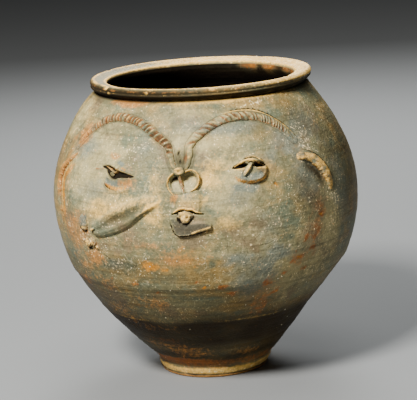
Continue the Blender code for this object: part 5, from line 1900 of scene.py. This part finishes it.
@dataclass(frozen=True)
class ClayFinish:
    """Fired, smoked and long-buried clay, with painted shade and highlights from the marks."""

    name: str = "fired_clay"
    grey: Colour = (0.25, 0.225, 0.112)
    green: Colour = (0.182, 0.206, 0.126)
    mauve: Colour = (0.245, 0.172, 0.092)
    buff: Colour = (0.41, 0.25, 0.068)
    # Colour of the pale film, and of the painted sheen.
    pale: Colour = (0.48, 0.4, 0.185)
    cool: Colour = (0.215, 0.234, 0.172)
    dark: Colour = (0.048, 0.038, 0.02)
    # Colour of sooty clay, and of painted shade.
    soot: Colour = (0.027, 0.0175, 0.0075)
    speck: Colour = (0.92, 0.76, 0.43)
    fleck: Colour = (0.52, 0.225, 0.05)
    # The last tint is near-black painted shade, and the cream one before the lime is worn clay and painted highlight.
    tints: tuple[tuple[Mark, Colour, float], ...] = (
        (WARM, (0.52, 0.215, 0.044), 0.82), (RUST, (0.32, 0.1, 0.021), 0.85),
        (OCHRE, (0.56, 0.22, 0.018), 0.9), (BARE, (0.92, 0.56, 0.13), 1.0),
        (LIME, (0.94, 0.7, 0.35), 0.95), (HOLLOW, (0.006, 0.0035, 0.0015), 0.985))
    bump: float = 0.0012

    def make(self) -> bpy.types.Material:
        """The material."""
        shader = Shader(self.name)
        broad, patchy = shader.noise(0.075, 4.0), shader.noise(0.016, 4.0, rough=0.6)
        fine, grain = shader.noise(0.0042, 3.0, rough=0.65), shader.noise(0.0016, 2.0, rough=0.6)
        hue, rings = shader.noise(0.036, 4.0, rough=0.6), shader.noise(0.0026, 3.0, (0.03, 0.03, 1.0))
        streaks = shader.noise(0.012, 3.0, (0.14, 0.14, 1.0))
        darkening = shader.mark(SOOT)
        net = shader.web(0.0034, 0.002).step(0.05, 0.0) * patchy.step(0.5, 0.62)
        cracks = shader.web(0.014, 0.006).step(0.012, 0.0) * patchy.step(0.52, 0.6)
        hairs = (shader.hair(0.026, (1.0, 0.7, 0.5)) * fine.step(0.44, 0.52)
                 + shader.hair(0.017, (0.6, 0.9, 1.2)) * hue.step(0.5, 0.58))
        colour = shader.mix(self.grey, self.green, hue.step(0.5, 0.6) * 0.9)
        colour = shader.mix(colour, self.mauve, hue.step(0.48, 0.38) * 0.7)
        colour = shader.mix(colour, self.buff, (broad * 0.4 + streaks * 0.25 + patchy * 0.35).step(0.48, 0.62) * 0.85)
        colour = shader.mix(colour, self.pale, (shader.mark(PALE) * 1.3 + (patchy - 0.5) * 1.1).step(0.05, 1.0))
        colour = shader.mix(colour, self.cool, (shader.mark(COOL) * 1.3 + (patchy - 0.5) * 0.9).step(0.1, 0.9))
        cover = darkening + (streaks * 0.45 + patchy * 0.3 + rings * 0.25 - 0.5) * (darkening * (1.0 - darkening)) * 4.0
        colour = shader.mix(colour, self.soot, cover.held())
        torn = (fine * 0.6 + grain * 0.4 - 0.5) * 2.2
        for mark, tint, most in self.tints:
            ragged = {HOLLOW: 0.35, BARE: 0.5, LIME: 1.6}.get(mark, 1.0)
            cover = (shader.mark(mark) * 1.45 + torn * ragged - (0.75 if mark is LIME else 0.3)).step(0.0, 1.0)
            colour = shader.mix(colour, tint, cover * most)
        bright = (1.0 - darkening * 1.05 - shader.mark(HOLLOW)).held()
        colour = shader.mix(colour, self.fleck, (grain * 0.5 + fine * 0.5).step(0.585, 0.64) * 0.5 * bright)
        colour = shader.mix(colour, self.speck, (net * 0.16 + cracks * 0.24 + hairs * 0.36).held() * bright)
        crowd = grain + shader.mark(LIME) * 0.13 + (patchy - 0.5) * 0.2
        colour = shader.mix(colour, self.speck, crowd.step(0.678, 0.722) * bright)
        colour = shader.scaled(colour, (fine * 0.38 + grain * 0.34 + patchy * 0.28 - 0.5) * 2.7 + 1.0)
        colour = shader.mix(colour, self.dark, rings.step(0.52, 0.7) * 0.3)
        height = fine * 0.9 + grain * 0.5 + rings * 0.6 + patchy * 0.8 - net * 0.15 - cracks * 0.2
        rough = (0.42 + shader.mark(HOLLOW) * 0.3 + shader.mark(LIME) * 0.25 + darkening * 0.16
                 + (fine - 0.5) * 0.4)
        return shader.surface(colour, rough.held(), height, 0.55, self.bump, Specular_IOR_Level=0.09)


@dataclass(frozen=True)
class LimeFinish:
    """Chalky specks."""

    name: str = "lime_grain"
    light: Colour = (0.78, 0.7, 0.48)
    dull: Colour = (0.34, 0.26, 0.14)

    def make(self) -> bpy.types.Material:
        """The material."""
        shader = Shader(self.name)
        return shader.surface(shader.mix(self.dull, self.light, shader.noise(0.003, 2.0).step(0.4, 0.6)), 0.85,
                              None, 0.0, 0.0)


@dataclass(frozen=True)
class FloorFinish:
    """Plain pale paper."""

    name: str = "pale_floor"
    colour: Colour = (0.26, 0.267, 0.265)

    def make(self) -> bpy.types.Material:
        """The material."""
        return Shader(self.name).surface((*self.colour, 1.0), 0.9, None, 0.0, 0.0, Specular_IOR_Level=0.15)


# The studio


@dataclass(frozen=True)
class Lamp:
    """A soft square light."""

    name: str
    place: Colour
    aim: Colour
    size: float
    power: float
    colour: Colour = (1.0, 1.0, 1.0)

    def hang(self) -> None:
        """Add it to the scene."""
        light = bpy.data.lights.new(self.name, "AREA")
        light.shape = "SQUARE"
        light.size = self.size
        light.energy = self.power
        light.color = self.colour
        way = Vector(self.aim) - Vector(self.place)
        turned = way.to_track_quat("-Z", "Y").to_matrix().to_4x4()
        link(self.name, light).matrix_world = Matrix.Translation(self.place) @ turned


@dataclass(frozen=True)
class Studio:
    """Floor, lights and camera."""

    lamps: tuple[Lamp, ...] = (
        Lamp("key", (-0.44, -1.2, 1.43), (0.0, 0.0, 0.16), 0.36, 74.0, (1.0, 0.98, 0.95)),
        Lamp("overhead", (0.1, 0.15, 1.85), (0.0, 0.0, 0.1), 0.9, 8.0, (0.97, 0.99, 1.0)),
        Lamp("back", (-0.1, 1.3, 1.15), (0.0, 0.0, 0.22), 0.7, 26.0, (0.98, 0.99, 1.0)))
    sky: Colour = (0.92, 0.96, 1.0)
    sky_strength: float = 0.04
    distance: float = 1.508
    height: float = 0.4758
    turn: float = 8.8
    dip: float = 12.31
    roll: float = -3.53
    shift: float = 0.0029
    lens: float = 152.8

    def lay_floor(self) -> None:
        """Lay the floor."""
        half = 9.0
        mesh = bpy.data.meshes.new("floor")
        mesh.from_pydata([(-half, -half, 0.0), (half, -half, 0.0), (half, half, 0.0), (-half, half, 0.0)], [],
                         [(0, 1, 2, 3)])
        mesh.materials.append(FloorFinish().make())
        link("floor", mesh)

    def set_camera(self) -> None:
        """Put the camera where the photograph was taken from."""
        turn, dip, roll = (math.radians(angle) for angle in (self.turn, self.dip, self.roll))
        level = Vector((-math.sin(turn), math.cos(turn), 0.0))
        right = Vector((math.cos(turn), math.sin(turn), 0.0))
        place = level * -self.distance + Vector((0.0, 0.0, self.height)) + right * self.shift
        ahead = level * math.cos(dip) + Vector((0.0, 0.0, -math.sin(dip)))
        up = right.cross(ahead)
        across = right * math.cos(roll) + up * math.sin(roll)
        upright = right * -math.sin(roll) + up * math.cos(roll)
        lens = bpy.data.cameras.new("camera")
        lens.lens, lens.sensor_width = self.lens, 36.0
        lens.clip_start, lens.clip_end = 0.05, 50.0
        camera = link("camera", lens)
        camera.matrix_world = Matrix((
            (across.x, upright.x, -ahead.x, place.x), (across.y, upright.y, -ahead.y, place.y),
            (across.z, upright.z, -ahead.z, place.z), (0.0, 0.0, 0.0, 1.0)))
        bpy.context.scene.camera = camera

    def set_sky(self) -> None:
        """A plain dim sky."""
        world = bpy.data.worlds.new("studio")
        world.use_nodes = True
        world.node_tree.nodes.clear()
        graph = Graph(world.node_tree)
        back = graph.add("ShaderNodeBackground", None, {"Color": (*self.sky, 1.0), "Strength": self.sky_strength})
        graph.add("ShaderNodeOutputWorld", None, {"Surface": back.outputs[0]})
        bpy.context.scene.world = world

    def build(self) -> None:
        """Set everything up."""
        self.lay_floor()
        for lamp in self.lamps:
            lamp.hang()
        self.set_sky()
        self.set_camera()


FLECKS = (
    (53.9, -0.078, 1.3), (52, -0.186, 1.2), (50.6, -0.251, 1.6), (47.1, -0.246, 1.2), (50.5, -0.364, 1.3),
    (44.2, -0.42, 1.6), (40.8, -0.465, 1.2), (38, -0.556, 1.2), (47.3, -0.553, 1.2), (31.3, -0.621, 2),
    (36.7, -0.736, 1.2), (12.8, -0.606, 1.7), (15.8, -0.676, 1.2), (3.5, -0.551, 1), (-13, -0.658, 1.1),
    (-22.3, -0.566, 1.2), (-33, -0.555, 1.2), (17.4, -0.695, 1.2), (6.1, -0.605, 1))
CRUMBS = (
    (23, -0.214, 0.8), (39.3, -0.296, 0.9), (40.1, -0.187, 0.8), (50.3, -0.555, 1.2), (59.5, -0.641, 1),
    (44, -0.629, 1.3), (48.4, -0.622, 1.2), (60.3, -0.177, 1), (60.7, 0.03, 1.1), (63.1, -0.087, 1),
    (59.7, 0.125, 0.9), (64.3, -0.373, 1), (53, 0.64, 1), (56, 0.56, 1.2), (58.5, 0.5, 1), (50, 0.7, 0.9),
    (61, 0.44, 1.1), (55, 0.74, 0.8), (34, 0.95, 0.6), (38, 0.94, 0.6), (-20, 0.6, 0.7), (-14, 0.56, 0.8),
    (-24, 0.55, 0.7))
STAINS = tuple(Stain(mark, *row, soft, ragged) for (mark, soft, ragged), rows in {
    (PALE, 0.6, 0.45): ((38, -0.5, 22, 0.34, 0.62),),
    # In this group the patches on the left cheek (-38, 0.45), the forehead (3, 0.68), right of the nose (18, 0.24) and
    # (20, 0.65) and the left shoulder (-66, 0.8) are painted sheen.
    (PALE, 0.7, 0.45): (
        (-38, 0.45, 17, 0.42, 0.75), (3, 0.68, 9, 0.16, 0.7), (18, 0.24, 12, 0.28, 0.7), (20, 0.65, 13, 0.16, 0.45),
        (61, -0.18, 8, 0.3, 0.65), (50, -0.46, 13, 0.13, 0.4), (5, 0.9, 30, 0.06, 0.35), (-66, 0.8, 12, 0.22, 0.6)),
    (PALE, 1, 0.45): (
        (10.5, -0.29, 10, 0.08, 0.45), (24, -0.48, 14, 0.12, 0.3), (40, -0.45, 9, 0.13, 0.45),
        (24, -0.12, 7, 0.1, 0.55), (82, 0.15, 10, 0.4, 0.35)),
    (BARE, 0.7, 0.45): ((-40.9, -0.075, 1.1, 0.012, 1), (-39.4, -0.02, 0.8, 0.06, 0.5), (-40, -0.212, 0.9, 0.02, 1)),
    (BARE, 0.8, 0.45): ((25, 0.99, 52, 0.035, 0.75),),
    # This group, and (-35, 0.05) in the next, are worn clay and painted highlight where the light falls strongest on
    # the face.
    (BARE, 0.9, 0.45): (
        (-22, 0.2, 15, 0.15, 0.5), (-34, 0.11, 9, 0.09, 0.55), (10, 0.38, 7, 0.17, 0.65), (-9.5, 0.35, 5, 0.22, 0.45),
        (15.5, 0, 6, 0.11, 0.6), (-10, 0.06, 6, 0.12, 0.6), (3, 0.18, 8, 0.11, 0.5), (18, 0.5, 9, 0.13, 0.35),
        (33.5, 0.42, 4, 0.12, 0.45)),
    (BARE, 1, 0.45): ((-35, 0.05, 7, 0.06, 0.45), (23.5, -0.09, 8, 0.07, 0.25), (-9.4, 0.17, 2.4, 0.03, 0.8)),
    (WARM, 0.7, 0.45): (
        (-50.5, 0.69, 6, 0.13, 0.8), (-38, -0.36, 6, 0.11, 0.7), (-55, -0.64, 11, 0.08, 0.45),
        (-28, 0.56, 3, 0.04, 0.6), (-37.5, -0.212, 1.2, 0.018, 0.9), (-100, -0.2, 34, 0.45, 0.4),
        (-150, 0.6, 20, 0.2, 0.5)),
    (WARM, 0.8, 0.45): ((-58.5, 0.33, 3.6, 0.3, 0.6), (-31, 0.98, 16, 0.05, 1), (-16, -0.78, 11, 0.12, 0.5)),
    (WARM, 0.9, 0.45): (
        (-48, -0.15, 13, 0.28, 0.66), (-9, -0.2, 12, 0.08, 0.35), (-31, -1.3, 22, 0.07, 0.4),
        (34, -1.4, 17, 0.06, 0.45)),
    (WARM, 1, 0.45): (
        (-1, -0.33, 13, 0.095, 0.6), (-19, 0.35, 5, 0.16, 0.45), (-40, -0.9, 16, 0.14, 0.4),
        (-24, -1.08, 20, 0.1, 0.3), (-48, -0.48, 12, 0.14, 0.45), (20, -0.64, 10, 0.12, 0.3),
        (-24, -0.18, 14, 0.07, 0.45), (-2.4, 0.225, 2.2, 0.06, 0.85), (-10, 0.47, 3, 0.12, 0.35),
        (-53.6, 0.3, 2.6, 0.2, 0.45), (-5.8, -0.32, 7, 0.08, 0.45), (-36, -0.63, 10, 0.1, 0.45),
        (-9.6, 0.16, 3, 0.04, 0.6), (-57, -0.04, 3.6, 0.13, 0.45), (-30, 0.72, 10, 0.06, 0.35),
        (-60, 0.64, 7, 0.16, 0.4)),
    (WARM, 1, 0.8): ((-12, -1.38, 24, 0.09, 0.48),),
    (SOOT, 0.7, 0.45): ((-41, -0.03, 1.6, 0.06, 0.34),),
    (SOOT, 0.8, 0.45): ((15.3, -1.494, 28, 0.06, 0.6),),
    # (80, 0.1) here and (66, 0.48), (48, 0.18) and (55, 0.78) in the next group are painted shade on the right, turned
    # from the light.
    (SOOT, 0.9, 0.1): ((80, 0.1, 14, 1, 0.5),),
    (SOOT, 0.9, 0.2): (
        (66, 0.48, 7, 0.33, 0.36), (48, 0.18, 9, 0.26, 0.5), (55, 0.78, 11, 0.17, 0.45), (150, -0.1, 60, 0.7, 0.45),
        (66, -1.25, 26, 0.3, 0.7)),
    (SOOT, 0.9, 0.3): ((-25, -0.4, 16, 0.08, 0.4), (34, 0.72, 9, 0.11, 0.28), (-18, 0.89, 13, 0.06, 0.3)),
    # Painted shadow between the brows.
    (SOOT, 0.9, 0.45): ((1, 0.54, 3.2, 0.11, 0.55),),
    (SOOT, 1, 0.3): ((-58, -0.8, 34, 0.4, 0.45),),
    (OCHRE, 0.7, 0.45): (
        (-14.4, -0.385, 4.4, 0.06, 1), (0, -0.27, 9, 0.1, 0.35), (-14.2, -0.346, 1.2, 0.012, 1),
        (-8, -0.419, 1.2, 0.015, 1), (3.3, -0.384, 1.3, 0.014, 0.9), (3.1, -0.471, 1.2, 0.013, 0.9),
        (200, 0.3, 16, 0.25, 0.4)),
    (LIME, 0.7, 0.45): ((170, -0.5, 10, 0.12, 0.4),),
    (LIME, 0.8, 0.45): ((24, -0.1, 8, 0.1, 0.4),),
    (LIME, 1, 0.45): (
        (46.4, -0.583, 12, 0.045, 0.6), (36, 0.945, 10, 0.04, 0.75), (55, 0.56, 6, 0.24, 0.65),
        (63, -0.12, 6, 0.36, 0.6), (-20, 0.6, 9, 0.1, 0.4), (-27, -0.42, 12, 0.12, 0.45), (-40, -0.25, 8, 0.16, 0.45),
        (42, 0.05, 14, 0.2, 0.3)),
    (LIME, 1, 1.2): (
        (-27.6, -0.4, 2.6, 0.034, 0.5), (-23.2, -0.458, 2.2, 0.028, 0.5), (-19.7, -0.412, 2, 0.026, 0.5)),
    (RUST, 0.7, 0.45): (
        (11.5, -0.604, 1.1, 0.013, 0.9), (17.4, -0.695, 1.2, 0.014, 0.9), (3.5, -0.551, 1.1, 0.012, 0.8),
        (6.1, -0.605, 1, 0.01, 0.8), (-13, -0.658, 1.1, 0.012, 0.8), (-10.9, -0.713, 1, 0.01, 0.8),
        (-22.3, -0.566, 1.2, 0.012, 0.8), (-33, -0.555, 1.2, 0.012, 0.8), (120, 0.5, 14, 0.2, 0.4)),
    (RUST, 0.8, 0.45): ((-24, -1.5, 40, 0.05, 0.9),),
    (RUST, 0.9, 0.45): ((-25, -1.24, 20, 0.05, 0.4), (2.2, 0.56, 1.2, 0.06, 0.7)),
    (RUST, 1, 0.8): (
        (31, -0.7, 8, 0.26, 0.48), (45.7, -0.424, 9, 0.13, 0.52), (51.5, -0.18, 6, 0.2, 0.52),
        (34.5, -0.86, 6, 0.16, 0.45), (55, 0.02, 5, 0.15, 0.4)),
    # Painted shadows beside the cheek pellet and the crust below it.
    (HOLLOW, 0.7, 0.45): (
        (-42.2, -0.106, 0.9, 0.015, 1), (-41.2, -0.113, 1.2, 0.011, 1), (-42, -0.232, 0.7, 0.034, 1),
        (-40.8, -0.268, 1.3, 0.013, 1)),
    (COOL, 0.7, 0.45): ((-41, -0.01, 1.8, 0.06, 0.9),),
    (COOL, 1, 0.45): (
        (21, 0.2, 8, 0.11, 0.56), (34.6, -0.329, 8, 0.11, 0.52), (17, -0.35, 7, 0.08, 0.52),
        (24, 0.76, 14, 0.08, 0.56), (5, 0.8, 14, 0.1, 0.45), (-46, 0.6, 12, 0.16, 0.52), (-36, 0.26, 12, 0.13, 0.45),
        (-15, 0.62, 6, 0.16, 0.38), (36, 0.5, 5, 0.1, 0.45), (24, 0.28, 7, 0.05, 0.52), (-30, -0.02, 10, 0.06, 0.2),
        (2.4, 0.235, 1.8, 0.035, 0.85), (68, 0.1, 9, 0.5, 0.5), (26, -0.42, 12, 0.16, 0.45),
        (24, -0.66, 9, 0.12, 0.45), (46, -0.36, 12, 0.12, 0.4), (31, -0.08, 11, 0.17, 0.38), (50, 0.3, 10, 0.3, 0.52),
        (58, 0.7, 12, 0.2, 0.5), (-29, -0.4, 7, 0.08, 0.52), (28, -0.56, 12, 0.14, 0.52), (44, 0.62, 8, 0.16, 0.48))
}.items() for row in rows)
STAINS += tuple(Stain(mark, turn, share, size * grow, FLECK_SIZE * size * grow, 1.0, 0.6, 0.9)
                for spots, mark, grow in ((FLECKS, RUST, 1.2), (FLECKS, OCHRE, 0.6), (CRUMBS, LIME, 0.8))
                for turn, share, size in spots)


def main() -> None:
    """Build the urn and its studio."""
    logging.basicConfig(level=logging.INFO, format="%(name)s: %(message)s")
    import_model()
    wall = Wall()
    patina = Patina(wall, STAINS)
    clay, lime = ClayFinish().make(), LimeFinish().make()
    body = UrnBody(wall, patina).build(clay)
    skin = Skin(wall, patina, clay, lay_face)
    for part in FACE:
        for laid in (*part.strips, *part.pellets):
            laid.build(skin)
    LimeGrains(wall).build(body, lime)
    Studio().build()


if __name__ == "__main__":
    main()
